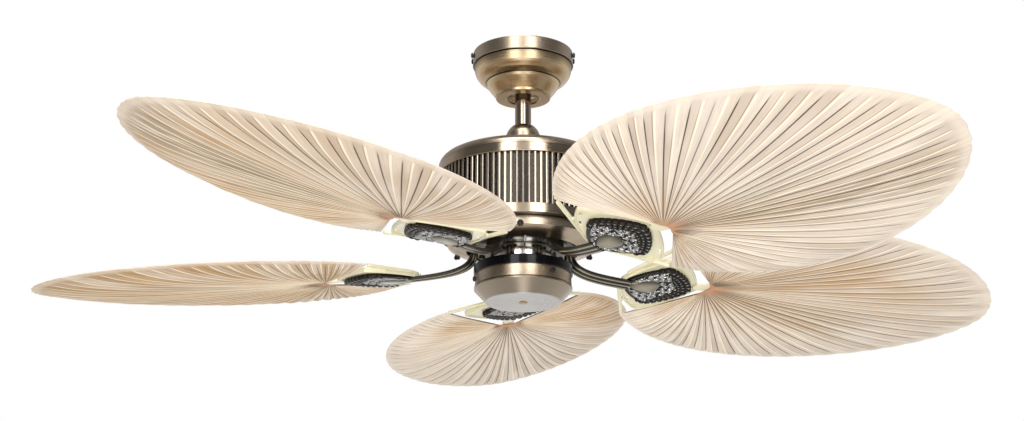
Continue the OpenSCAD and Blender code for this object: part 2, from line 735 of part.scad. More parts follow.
module switch_plate() {
    tab_r = cup_r - sheet_t - fit;
    color(black_steel) difference() {
        union() {
            rotate_extrude($fn = 128) polygon([[shaft_r + hole_gap, plate_z], [plate_r - 1, plate_z],
                [plate_r, plate_z - 1], [plate_r, cup_z], [plate_r - 1.8, cup_z],
                [plate_r - 1.8, plate_z - 2.2], [14, plate_z - 2.2], [14, plate_z - 8],
                [shaft_r + hole_gap, plate_z - 8]]);
            for (a = cup_screw_azimuth) {
                at_azimuth(a) translate([tab_r - 3.4, -6, cup_screw_z - 5])
                    cube([2.5, 12, plate_z - cup_screw_z + 4]);
            }
        }
        for (a = cup_screw_azimuth) {
            at_azimuth(a) translate([tab_r, 0, cup_screw_z]) rotate([0, 90, 0])
                cylinder(r = cup_screw_r + hole_gap, h = 12, center = true, $fn = 32);
        }
    }
}

module shaft_nut() {
    color(zinc) translate([0, 0, plate_z - 15.1]) difference() {
        cylinder(r = 13, h = 7, $fn = 6);
        translate([0, 0, -past]) cylinder(r = shaft_r + 0.02, h = 9, $fn = 96);
    }
}

module switch_cup() {
    waist_z = cup_z - 17.5;
    outer = [[cup_r - 0.3, plate_z - 3], [cup_r, plate_z - 4], [cup_r, cup_z],
        [cup_r + 0.5, cup_z - 10], [cup_r + 0.8, waist_z + 2.2], [cup_r + 0.4, waist_z + 1.4],
        [cup_r + 1.6, waist_z + 0.4], [cup_r + 1.6, waist_z - 1.4],
        [cup_bottom_r + 0.9, cup_low_z + 1], [cup_bottom_r, cup_low_z]];
    color(brass) difference() {
        rotate_extrude($fn = 128) polygon(concat(outer,
            [[5.2, cup_low_z], [5.2, cup_low_z + sheet_t],
                [cup_bottom_r - 0.6, cup_low_z + sheet_t], [cup_r + 0.2, waist_z - 1],
                [cup_r - sheet_t, waist_z + 3], [cup_r - sheet_t, plate_z - 3]]));
        for (a = cup_screw_azimuth) {
            at_azimuth(a) translate([cup_r, 0, cup_screw_z]) rotate([0, 90, 0])
                cylinder(r = cup_screw_r + hole_gap, h = 12, center = true, $fn = 32);
        }
    }
}

module switch_cup_screws() {
    color(black_steel) for (a = cup_screw_azimuth) {
        at_azimuth(a) translate([cup_r + 0.7, 0, cup_screw_z]) screw(cup_screw_r, 7, 3.4, 2.8);
    }
}

module centre_plug() {
    color("#8a6a3f") translate([0, 0, cup_low_z]) rotate_extrude($fn = 48) polygon([
        [0, -1.1], [4.6, -1.1], [5.9, -0.1], [5, -0.1], [5, sheet_t + 0.4], [5.7, sheet_t + 1.2],
        [4.6, sheet_t + 3], [0, sheet_t + 3]]);
}

module run_capacitor() {
    color("#26282b") translate([-44, -20, plate_z - 28]) cube([25, 40, 25.7]);
}

module terminal_block() {
    color("#e8e6de") difference() {
        translate([20, -17, plate_z - 15]) cube([18, 34, 12.7]);
        for (y = [-11:5.5:11]) {
            translate([29, y, plate_z - 15 - past]) cylinder(r = 1.8, h = 8, $fn = 24);
        }
    }
}

// ---- Blade irons ----

// The frame of blade i: +X outwards, +Y across, and +Z up from the plane of the leaf's edge
module blade_frame_of(i) {
    at_azimuth(blade_azimuth[i]) translate([0, 0, blade_z]) rotate([0, -blade_rise, 0])
        rotate([blade_pitch[i], 0, 0]) children();
}

module iron_screw_places(i) {
    for (side = [-1, 1]) {
        at_azimuth(blade_azimuth[i] + side * iron_screw_angle)
            translate([iron_screw_pcd_r, 0, flywheel_z]) children();
    }
}

function signed_power(v, e) = sign(v) * pow(abs(v), e);

// A point of a rounded lozenge round [mid, 0], in the direction t: a and power are for its two halves
function lozenge_point(mid, a, b, power, t) = let (
        half = cos(t) > 0 ? 1 : 0, p = power[half],
        q = pow(pow(abs(cos(t)) / a[half], p) + pow(abs(sin(t)) / b, p), -1 / p))
    [mid + q * cos(t), q * sin(t)];

function lozenge(mid, a, b, power, steps) =
    [for (i = [0:steps - 1]) lozenge_point(mid, a, b, power, 360 * i / steps)];

// A drop with its point towards the hub
function drop(mid, a, b, steps) = [for (i = [0:steps - 1]) let (t = 360 * i / steps)
    [mid + a * cos(t), b * sin(t) * pow(cos(t / 2) * cos(t / 2), 0.35) * 1.12]];

function bezier(p, t) = pow(1 - t, 3) * p[0] + 3 * pow(1 - t, 2) * t * p[1]
    + 3 * (1 - t) * t * t * p[2] + t * t * t * p[3];

function bezier_slope(p, t) = 3 * pow(1 - t, 2) * (p[1] - p[0])
    + 6 * (1 - t) * t * (p[2] - p[1]) + 3 * t * t * (p[3] - p[2]);

// Half of the arm's section is smooth, and the half that shows from below has three ridges
function arm_section(w, t) = concat(
    [[-w / 2, 0], [-w / 2 + 2.4, t * 0.42], [w / 2 - 2.4, t * 0.42], [w / 2, 0]],
    [for (i = [1:9]) let (u = 1 - i / 5)
        [u * w / 2, -t * (0.5 * sqrt(1 - u * u * 0.8) - 0.16 * (1 - cos(u * 540)) / 2)]]);

// The arm sinks from the flange, sweeps outwards and takes on the blade's pitch
module arm(pitch) {
    arm_end_r = medallion_mid_r - medallion_a + 10;
    path = [[flange_in_r + 5, flywheel_z - 3], [flange_in_r + 10, flywheel_z - 25],
        [flange_in_r + 0.396 * (arm_end_r - flange_in_r), blade_z - 9], [arm_end_r, blade_z - 8.1]];
    steps = 12;
    sections = [for (k = [0:steps]) let (
            t = k / steps, p = bezier(path, t), s = bezier_slope(path, t),
            n = s / norm(s), turn = pitch * t * t * (3 - 2 * t),
            thick = arm_t * (1 - 0.08 * t), wide = arm_w * (1 + 0.35 * pow(1 - t, 4) - 0.12 * t))
        [for (q = arm_section(wide, thick))
            let (y = q[0] * cos(turn) - q[1] * sin(turn), h = q[0] * sin(turn) + q[1] * cos(turn))
            [p[0] - n[1] * h, y, p[1] + n[0] * h]]];
    m = len(sections[0]);
    polyhedron(
        points = [for (ring_points = sections) each ring_points],
        faces = concat(
            [[for (i = [m - 1:-1:0]) i]],
            [for (k = [0:steps - 1]) for (i = [0:m - 1]) let (j = (i + 1) % m)
                each [[k * m + i, (k + 1) * m + j, (k + 1) * m + i],
                    [k * m + i, k * m + j, (k + 1) * m + j]]],
            [[for (i = [0:m - 1]) steps * m + i]]));
}

module medallion() {
    a = [medallion_a, medallion_a];
    power = [medallion_power, medallion_power];
    difference() {
        union() {
            translate([0, 0, medallion_low]) linear_extrude(medallion_t)
                polygon(lozenge(medallion_mid_r, a - [3, 3], medallion_b - 3, power, 40));
            // Lobes of the border, from one side round the outer end to the other
            for (i = [0:lobe_count - 1]) {
                t = -106 + 212 * i / (lobe_count - 1);
                p = lozenge_point(medallion_mid_r, a - [lobe_r, lobe_r], medallion_b - lobe_r, power, t);
                translate([p[0], p[1], medallion_low - 2])
                    rotate_extrude($fn = 24) polygon([[0, 0], [lobe_r * 0.5, 0], [lobe_r * 0.86, 1.2],
                        [lobe_r, 3.2], [lobe_r, medallion_t + 1.4], [0, medallion_t + 1.4]]);
            }
            // Scrolled border of the boss
            translate([0, 0, medallion_low - 1.2]) linear_extrude(2) difference() {
                polygon(drop(boss_r, boss_a + 8, boss_b + 9, 40));
                polygon(drop(boss_r, boss_a, boss_b, 40));
            }
            // The smooth boss itself
            intersection() {
                translate([boss_r, 0, medallion_low + 62]) sphere(r = 65, $fn = 96);
                translate([0, 0, medallion_low - 4]) linear_extrude(6)
                    polygon(drop(boss_r, boss_a - 1.2, boss_b - 1.2, 40));
            }
        }
        for (p = blade_screw_places) {
            translate([p[0], p[1], medallion_top - 3])
                cylinder(r = blade_screw_r + hole_gap, h = 3 + past, $fn = 32);
        }
    }
}

module iron_flange() {
    difference() {
        rotate([0, 0, -flange_half_angle]) rotate_extrude(angle = 2 * flange_half_angle, $fn = 96)
            polygon([[flange_in_r, flywheel_z - flange_t], [flange_out_r - 1, flywheel_z - flange_t],
                [flange_out_r, flywheel_z - flange_t + 1], [flange_out_r, flywheel_z],
                [flange_in_r, flywheel_z]]);
        for (side = [-1, 1]) {
            rotate([0, 0, side * iron_screw_angle]) translate([iron_screw_pcd_r, 0, flywheel_z - 8])
                cylinder(r = iron_screw_r + hole_gap, h = 10, $fn = 32);
        }
    }
}

module blade_iron(i) {
    color(antique_iron) {
        at_azimuth(blade_azimuth[i]) {
            iron_flange();
            arm(blade_pitch[i]);
        }
        blade_frame_of(i) medallion();
    }
}

module iron_screws() {
    color(black_steel) for (i = [0:4]) {
        iron_screw_places(i) translate([0, 0, -flange_t - 0.05]) rotate([0, 90, 0])
            screw(iron_screw_r, flange_t + 5, 4.4, 3);
    }
}

module blade_screws() {
    color(black_steel) for (i = [0:4]) {
        blade_frame_of(i) for (p = blade_screw_places) {
            translate([p[0], p[1], medallion_top + frame_t + 0.05]) rotate([0, -90, 0])
                screw(blade_screw_r, frame_t + 2.8, 4.2, 2.8);
        }
    }
}

// ---- Leaves ----

// A point of the leaf's oval: phase 0 is the tip, and the phases of the notch are left out
function leaf_edge(t, trim) = [leaf_mid_r + (leaf_a - (cos(t) > 0 ? trim : 0)) * cos(t),
    leaf_b * signed_power(sin(t), leaf_power) * (1 + leaf_taper * cos(t))];

// The pleats are widest at the tip and close up towards the notch's corners
function fold_phase(fold) = let (u = 1 - fold / pleat_count)
    leaf_phase * (u + pleat_spread * sin(180 * u) / PI);

function fold_depth(fold) =
    pleat_depth * sqrt((1 + pleat_spread * cos(180 * (1 - fold / pleat_count))) / (1 + pleat_spread));

// Height of the leaf's middle surface a share s of the way out along one of its folds
function leaf_height(s, fold) =
    -leaf_dip * (1 - s) - leaf_dish * s * (1 - s * s * s) * (1 - 0.85 * pow(1 - fold / pleat_count, 4))
        + (fold % 2 == 0 ? 1 : -1) * fold_depth(fold) / 2 * (s < 1 ? pow(s, 0.8) : leaf_hem);

function leaf_point(s, fold, i) = let (
        e = leaf_edge(fold_phase(fold), leaf_trim[i]),
        root = [leaf_root_r[i], leaf_root_w[i] + crest_w * (1 - fold / pleat_count)])
    concat(root + s * (e - root), [leaf_height(s, fold)]);

// The folds fan out from the crest, and the sheet is straight between one fold and the next
module leaf_sheet(i) {
    folds = 2 * pleat_count;
    rows = len(leaf_rings);
    half = [0, 0, leaf_t / 2];
    points = [for (side = [-1, 1]) for (fold = [0:folds]) for (s = leaf_rings)
        leaf_point(s, fold, i) + side * half];
    upper = (folds + 1) * rows;
    polyhedron(points = points, faces = concat(
        [for (fold = [0:folds - 1]) for (k = [0:rows - 2]) let (
                a = fold * rows + k, b = a + 1, c = a + rows, d = c + 1)
            each [[a, d, b], [a, c, d],
                [a + upper, b + upper, d + upper], [a + upper, d + upper, c + upper]]],
        [for (fold = [0:folds - 1]) let (a = fold * rows, b = a + rows)
            each [[a, b + upper, b], [a, a + upper, b + upper]]],
        [for (fold = [0:folds - 1]) let (a = fold * rows + rows - 1, b = a + rows)
            each [[a, b, b + upper], [a, b + upper, a + upper]]],
        [for (k = [0:rows - 2]) each [[k, k + 1 + upper, k + upper], [k, k + 1, k + 1 + upper]]],
        [for (k = [0:rows - 2]) let (a = folds * rows + k)
            each [[a, a + upper, a + 1 + upper], [a, a + 1 + upper, a + 1]]]));
}

module palm_leaf(i) {
    color(bleached_leaf) blade_frame_of(i) leaf_sheet(i);
}

// ---- Blade frames ----

// A flat bar from p to q
module bar(p, q, w) {
    d = q - p;
    translate(p) rotate(atan2(d[1], d[0])) translate([0, -w / 2]) square([norm(d), w]);
}

// The frame's outline, drawn in by a distance d
function frame_outline(d) = lozenge(frame_mid_r, frame_a - [d, d], frame_b - d, frame_power, 48);

// The plastic frame sits on the medallion, fills the leaf's notch and reaches the leaf's corners
module blade_frame(i) {
    color(cream_plastic) blade_frame_of(i) difference() {
        union() {
            translate([0, 0, medallion_top]) linear_extrude(frame_t) polygon(frame_outline(0));
            translate([0, 0, frame_lip_low]) linear_extrude(frame_lip_high - frame_lip_low) difference() {
                polygon(frame_outline(0));
                polygon(frame_outline(frame_lip_w));
            }
            translate([0, 0, tongue_low]) linear_extrude(frame_t)
                bar([frame_mid_r + frame_a[1] - 10, leaf_root_w[i] / 2],
                    [leaf_root_r[i] + tongue_past, leaf_root_w[i]], tongue_w);
            for (side = [-1, 1]) {
                frame_strut(side);
            }
        }
        for (p = blade_screw_places) {
            translate([p[0], p[1], medallion_top - past])
                cylinder(r = blade_screw_r + 2 * hole_gap, h = frame_t + 2 * past, $fn = 32);
        }
        // The lip stops short where the arm comes in
        translate([frame_mid_r - frame_a[0] - 5, -arm_w / 2 - 2, frame_lip_low - past])
            cube([26, arm_w + 4, medallion_top - frame_lip_low + past - 0.01]);
        // Slots behind the rim at each side corner
        for (side = [-1, 1]) {
            for (t = [78, 96, 118]) {
                q = lozenge_point(frame_mid_r, frame_a - [6.5, 6.5], frame_b - 6.5, frame_power, side * t);
                translate([q[0], q[1], medallion_top]) rotate(side * (t < 90 ? -42 : t < 110 ? 4 : 50))
                    cube([11, 2.6, 2 * frame_t + 2 * past], center = true);
            }
        }
    }
}

// A strut runs along the rim from the hub's side and ends just short of the leaf's corner, and a
// short bridge ties it to the frame on the way
module frame_strut(side) {
    corner = leaf_edge(leaf_phase, 0);
    start = [frame_mid_r - frame_a[0] + 3, side * 15];
    tip = [corner[0] + 0.5, side * (corner[1] - 4)];
    inner = lozenge_point(frame_mid_r, frame_a - [3, 3], frame_b - 3, frame_power, side * 114);
    translate([0, 0, strut_low]) linear_extrude(strut_h) {
        bar(start, tip, strut_w);
        bar(inner, start + 0.5 * (tip - start), strut_w);
    }
}

// ---- The model ----

hanger_bracket();
canopy();
canopy_screws();
hanger_ball();
ball_cross_pin();
downrod();
coupling_cover();
motor_yoke();
clevis_pin();
yoke_set_screws();
yoke_screws();
housing_top();
ribbed_sleeve();
housing_bottom();
housing_stays();
housing_screws();
motor_shaft();
shaft_circlip();
stator_core();
stator_windings();
switch_plate();
shaft_nut();
switch_cup();
switch_cup_screws();
centre_plug();
run_capacitor();
terminal_block();
rotor_upper_shell();
rotor_lower_shell();
rotor_shell_screws();
rotor_cage();
upper_bearing();
lower_bearing();
flywheel();
flywheel_screws();
iron_screws();
blade_iron(0);  // blade_iron_1
blade_iron(1);  // blade_iron_2
blade_iron(2);  // blade_iron_3
blade_iron(3);  // blade_iron_4
blade_iron(4);  // blade_iron_5
blade_frame(0);  // blade_frame_1
blade_frame(1);  // blade_frame_2
blade_frame(2);  // blade_frame_3
blade_frame(3);  // blade_frame_4
blade_frame(4);  // blade_frame_5
blade_screws();
palm_leaf(0);  // palm_leaf_1
palm_leaf(1);  // palm_leaf_2
palm_leaf(2);  // palm_leaf_3
palm_leaf(3);  // palm_leaf_4
palm_leaf(4);  // palm_leaf_5
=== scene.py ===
"""Looks of a ceiling fan with five palm-leaf blades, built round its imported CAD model.

The scene is in metres. The blades' pieces are shaped in millimetres in their blade's own frame,
with +X outwards, +Y across and +Z up.
"""

import json
import math

import bpy
import numpy as np
from mathutils import Matrix, Vector


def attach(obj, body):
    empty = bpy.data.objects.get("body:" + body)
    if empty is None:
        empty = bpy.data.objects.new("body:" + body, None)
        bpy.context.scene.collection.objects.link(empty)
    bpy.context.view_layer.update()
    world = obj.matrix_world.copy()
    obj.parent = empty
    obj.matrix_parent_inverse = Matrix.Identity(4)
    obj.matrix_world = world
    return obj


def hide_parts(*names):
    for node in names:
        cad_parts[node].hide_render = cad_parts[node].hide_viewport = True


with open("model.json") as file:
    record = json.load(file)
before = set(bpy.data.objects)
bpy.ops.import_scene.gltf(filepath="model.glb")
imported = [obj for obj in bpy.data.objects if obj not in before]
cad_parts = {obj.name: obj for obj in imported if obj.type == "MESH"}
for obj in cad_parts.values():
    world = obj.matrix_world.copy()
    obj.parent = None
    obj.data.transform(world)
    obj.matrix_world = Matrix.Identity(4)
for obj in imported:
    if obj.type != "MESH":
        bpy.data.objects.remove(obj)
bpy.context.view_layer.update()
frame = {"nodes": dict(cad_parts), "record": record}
nodes = frame["nodes"]
MM = 0.001

# ---------------------------------------------------------------- sizes, as in the CAD source
# Of each blade in turn: azimuth, pitch, what its leaf's tip is cut by, and the middle of its crest
AZIMUTH = [-32.2, 37.9, 112.6, 183.7, 257.7]
PITCH = [-9.2, -15.4, -13.7, -9.6, -7.8]
LEAF_TRIM = [0, 0, 0, 0, 28]
LEAF_ROOT = [(270.0, -2.0), (262.0, 14.0), (260.0, -10.0), (268.0, 6.0), (264.0, 0.0)]
BLADES = range(len(AZIMUTH))
BLADE_RISE = 0.32
BLADE_Z = -296.7
LEAF_MID, LEAF_A, LEAF_B = 424.45, 285.55, 180.0
LEAF_TAPER, LEAF_POWER, LEAF_PHASE = -0.121, 1.106, 148.5
PLEATS, SPREAD, PLEAT_DEPTH = 58, 0.58, 5.0
DIP, DISH, CREST = 8.0, 20.0, 12.0
FRAME_MID, FRAME_A, FRAME_B, FRAME_POWER = 193.0, (53.0, 59.0), 70.0, (1.4, 1.22)
PLATE_LOW, PLATE_HIGH = -4.5, -1.5
LIP_W, LIP_LOW, LIP_HIGH = 2.6, -6.5, 1.0
STRUT_W, STRUT_LOW, STRUT_HIGH = 5.0, -3.0, 1.2
TONGUE_W, TONGUE_LOW, TONGUE_HIGH, TONGUE_PAST = 16.0, -6.9, -3.9, 11
MEDALLION_MID, MEDALLION_A, MEDALLION_B, MEDALLION_POWER = 191, 51, 47, 1.4
MEDALLION_TOP, MEDALLION_LOW = -4.5, -8.5
LOBES, LOBE_END = 19, 106
ARM_W, ARM_T = 26, 7.5

# Sizes that are the scene's own
LEAF_HALF_T = 0.6
BOSS_R, BOSS_A, BOSS_B = 172.0, 22, 17
SLOT_W, SLOT_INSET = 3.0, 6.5


def turn(axis, degrees):
    return Matrix.Rotation(math.radians(degrees), 4, axis)


def blade_matrix(i, pitched=True):
    """From blade i's own millimetres to the frame's metres."""
    m = turn("Z", AZIMUTH[i] - 90)
    if pitched:
        m = m @ Matrix.Translation((0, 0, BLADE_Z)) @ turn("Y", -BLADE_RISE) @ turn("X", PITCH[i])
    return Matrix.Scale(MM, 4) @ m


# ---------------------------------------------------------------- mesh helpers
def add_object(name, data):
    obj = bpy.data.objects.new(name, data)
    bpy.context.scene.collection.objects.link(obj)
    return obj


def new_piece(name, verts, faces, matrix, sharp):
    """An object placed by matrix, smooth but for the edges that turn by more than sharp degrees."""
    m = np.array(matrix)
    verts = np.asarray(verts, float) @ m[:3, :3].T + m[:3, 3]
    mesh = bpy.data.meshes.new(name)
    mesh.from_pydata(verts.tolist(), [], [list(map(int, f)) for f in faces])
    mesh.validate()
    mesh.update()
    obj = add_object(name, mesh)
    mesh.polygons.foreach_set("use_smooth", [True] * len(mesh.polygons))
    mesh.set_sharp_from_angle(angle=math.radians(sharp))
    return obj


def grid_faces(rows, cols, start=0, flip=False, closed=False):
    """Quads of a grid whose points are counted row by row."""
    faces = []
    for r in range(rows - 1):
        for c in range(cols if closed else cols - 1):
            d = (c + 1) % cols
            near, far = start + r * cols, start + (r + 1) * cols
            q = [near + c, near + d, far + d, far + c]
            faces.append(q[::-1] if flip else q)
    return faces


def point_layer(obj, name, values):
    layer = obj.data.attributes.new(name, "FLOAT", "POINT")
    layer.data.foreach_set("value", np.asarray(values, np.float32))


# ---------------------------------------------------------------- shader helpers
class Nodes:
    """A node tree with short ways to add and link nodes."""

    def __init__(self, tree):
        self.tree = tree

    def add(self, kind, **settings):
        n = self.tree.nodes.new(kind)
        for k, v in settings.items():
            setattr(n, k, v)
        return n

    def put(self, socket, value):
        """Links a socket to another, or sets it. None leaves it alone."""
        if isinstance(value, bpy.types.NodeSocket):
            self.tree.links.new(value, socket)
        elif value is not None:
            if socket.type == "RGBA" and len(value) == 3:
                value = (*value, 1.0)
            socket.default_value = value

    def math(self, op, a, b=None, c=None, clamp=False):
        n = self.add("ShaderNodeMath", operation=op, use_clamp=clamp)
        for s, v in zip(n.inputs, (a, b, c)):
            self.put(s, v)
        return n.outputs[0]

    def times(self, a, b, clamp=False):
        return self.math("MULTIPLY", a, b, clamp=clamp)

    def step(self, value, low, high):
        """Smoothly 0 at low and 1 at high."""
        n = self.add("ShaderNodeMapRange", interpolation_type="SMOOTHSTEP")
        for s, v in zip(n.inputs, (value, low, high, 0.0, 1.0)):
            self.put(s, v)
        return n.outputs[0]

    def mix(self, factor, a, b):
        n = self.add("ShaderNodeMix", data_type="RGBA")
        self.put(n.inputs[0], factor)
        self.put(n.inputs[6], a)
        self.put(n.inputs[7], b)
        return n.outputs[2]

    def vector(self, x, y):
        n = self.add("ShaderNodeCombineXYZ")
        self.put(n.inputs[0], x)
        self.put(n.inputs[1], y)
        return n.outputs[0]

    def split(self, vector):
        n = self.add("ShaderNodeSeparateXYZ")
        self.put(n.inputs[0], vector)
        return n.outputs

    def noise(self, vector, scale=1.0, detail=2.0, rough=0.5):
        n = self.add("ShaderNodeTexNoise")
        self.put(n.inputs["Vector"], vector)
        n.inputs["Scale"].default_value = scale
        n.inputs["Detail"].default_value = detail
        n.inputs["Roughness"].default_value = rough
        return n.outputs[0]


class Shader(Nodes):
    """A material with its nodes."""

    def __init__(self, name):
        self.mat = bpy.data.materials.new(name)
        self.mat.use_nodes = True
        super().__init__(self.mat.node_tree)
        self.bsdf = self.tree.nodes["Principled BSDF"]

    def place(self):
        return self.add("ShaderNodeTexCoord").outputs["Object"]

    def layer(self, name):
        return self.add("ShaderNodeAttribute", attribute_name=name).outputs["Fac"]

    def bump(self, height, strength, distance):
        n = self.add("ShaderNodeBump")
        n.inputs["Strength"].default_value = strength
        n.inputs["Distance"].default_value = distance
        self.put(n.inputs["Height"], height)
        return n.outputs[0]

    def finish(self, color, metallic, roughness, normal=None):
        b = self.bsdf.inputs
        self.put(b["Base Color"], color)
        self.put(b["Metallic"], metallic)
        self.put(b["Roughness"], roughness)
        self.put(b["Normal"], normal)
        return self.mat


def shade(color, share):
    return tuple(v * share for v in color)


# ---------------------------------------------------------------- metals and plastics
# Fine rings of turned metal to a metre, and how fast they also follow the radius
RINGS, RING_SLOPE = 2600.0, 0.73
JOINT_COLOR, JOINT_HALF_W = (0.03, 0.024, 0.018), 0.0010
BAND_ROUGH = 0.13
FADE = 0.0003


def around(s):
    """Angle round the fan's axis, height and radius of a point, for turned metal."""
    x, y, z = s.split(s.place())
    angle = s.math("ARCTAN2", y, x)
    radius = s.math("SQRT", s.math("ADD", s.times(x, x), s.times(y, y)))
    return angle, z, radius


def turned_metal(name, color, dark, rough, brush=0.05, bands=(), joints=(), below=(),
                 anisotropic=0.0):
    """Spun and brushed metal with fine rings round the axis and a faint patina.

    Each of bands is polished from one height to another, joints are the heights of dark lines, and
    below has pairs of a height and the colour under it.
    """
    s = Shader(name)
    angle, z, radius = around(s)
    along = s.math("ADD", z, s.times(radius, RING_SLOPE))
    rings = s.noise(s.vector(s.times(angle, 1.3), s.times(along, RINGS)), 1.0, 3.0, 0.6)
    patina = s.noise(s.place(), 26.0, 4.0, 0.6)
    c = s.mix(s.step(patina, 0.45, 0.75), color, dark)
    for height, other in below:
        c = s.mix(s.step(z, height + 0.0004, height), c, other)
    grooves = s.times(s.math("SUBTRACT", rings, 0.42), 2.6, clamp=True)
    c = s.mix(grooves, c, shade(color, 0.66))
    for height in joints:
        gap = s.math("ABSOLUTE", s.math("SUBTRACT", z, height))
        c = s.mix(s.step(gap, JOINT_HALF_W, FADE), c, JOINT_COLOR)
    r = s.math("ADD", rough - brush, s.times(rings, 2 * brush))
    for start, end in bands:
        inside = s.times(s.step(z, start, start + FADE), s.step(z, end + FADE, end))
        r = s.math("MULTIPLY_ADD", s.math("SUBTRACT", BAND_ROUGH, r), inside, r)
    s.finish(c, 1.0, r, s.bump(rings, 0.14, 0.0002))
    if anisotropic:
        s.bsdf.inputs["Anisotropic"].default_value = anisotropic
        tangent = s.add("ShaderNodeTangent", direction_type="RADIAL", axis="Z").outputs[0]
        s.put(s.bsdf.inputs["Tangent"], tangent)
    return s.mat


def ribbed_metal(name, top, hollow_shade, low_r, high_r, rough):
    """Metal whose ribs keep its own colour and whose hollows between them are painted near black as
    shade.
    """
    s = Shader(name)
    angle, z, radius = around(s)
    n = s.noise(s.vector(s.times(angle, 40.0), s.times(z, 60.0)), 1.0, 3.0, 0.6)
    c = s.mix(s.step(radius, low_r, high_r), hollow_shade, s.mix(n, shade(top, 0.7), top))
    return s.finish(c, 1.0, s.math("MULTIPLY_ADD", n, 0.1, rough - 0.05), s.bump(n, 0.1, 0.0003))


def plain_metal(name, color, rough, scale=60.0, wear=0.6):
    s = Shader(name)
    n = s.noise(s.place(), scale, 5.0, 0.6)
    c = s.mix(n, shade(color, wear), color)
    r = s.math("ADD", rough - 0.06, s.times(n, 0.12))
    return s.finish(c, 1.0, r, s.bump(n, 0.12, 0.0004))


def moulded(name, color, rough, grain=900.0, coat=0.0, specular=0.5):
    s = Shader(name)
    fine = s.noise(s.place(), grain, 2.0, 0.5)
    wide = s.noise(s.place(), 18.0, 3.0, 0.5)
    c = s.mix(wide, shade(color, 0.88), color)
    r = s.math("ADD", rough - 0.04, s.times(wide, 0.08))
    s.finish(c, 0.0, r, s.bump(fine, 0.06, 0.0003))
    s.bsdf.inputs["Specular IOR Level"].default_value = specular
    if coat:
        s.bsdf.inputs["Coat Weight"].default_value = coat
        s.bsdf.inputs["Coat Roughness"].default_value = 0.08
    return s.mat


# ---------------------------------------------------------------- palm and cast bronze
PALM = {
    "cream": (0.785, 0.685, 0.57), "pinkish": (0.65, 0.555, 0.475), "tanned": (0.58, 0.45, 0.31),
    "shaded side": (0.50, 0.41, 0.335), "tan": (0.47, 0.275, 0.115), "green": (0.28, 0.215, 0.13),
    "streak": (0.47, 0.37, 0.26), "rib": (0.93, 0.83, 0.655), "shadow by rib": (0.37, 0.225, 0.115),
    "crease_shade": (0.075, 0.040, 0.018), "hem": (0.82, 0.72, 0.60), "root": (0.60, 0.31, 0.16),
    "dark start": (0.05, 0.025, 0.012),
}


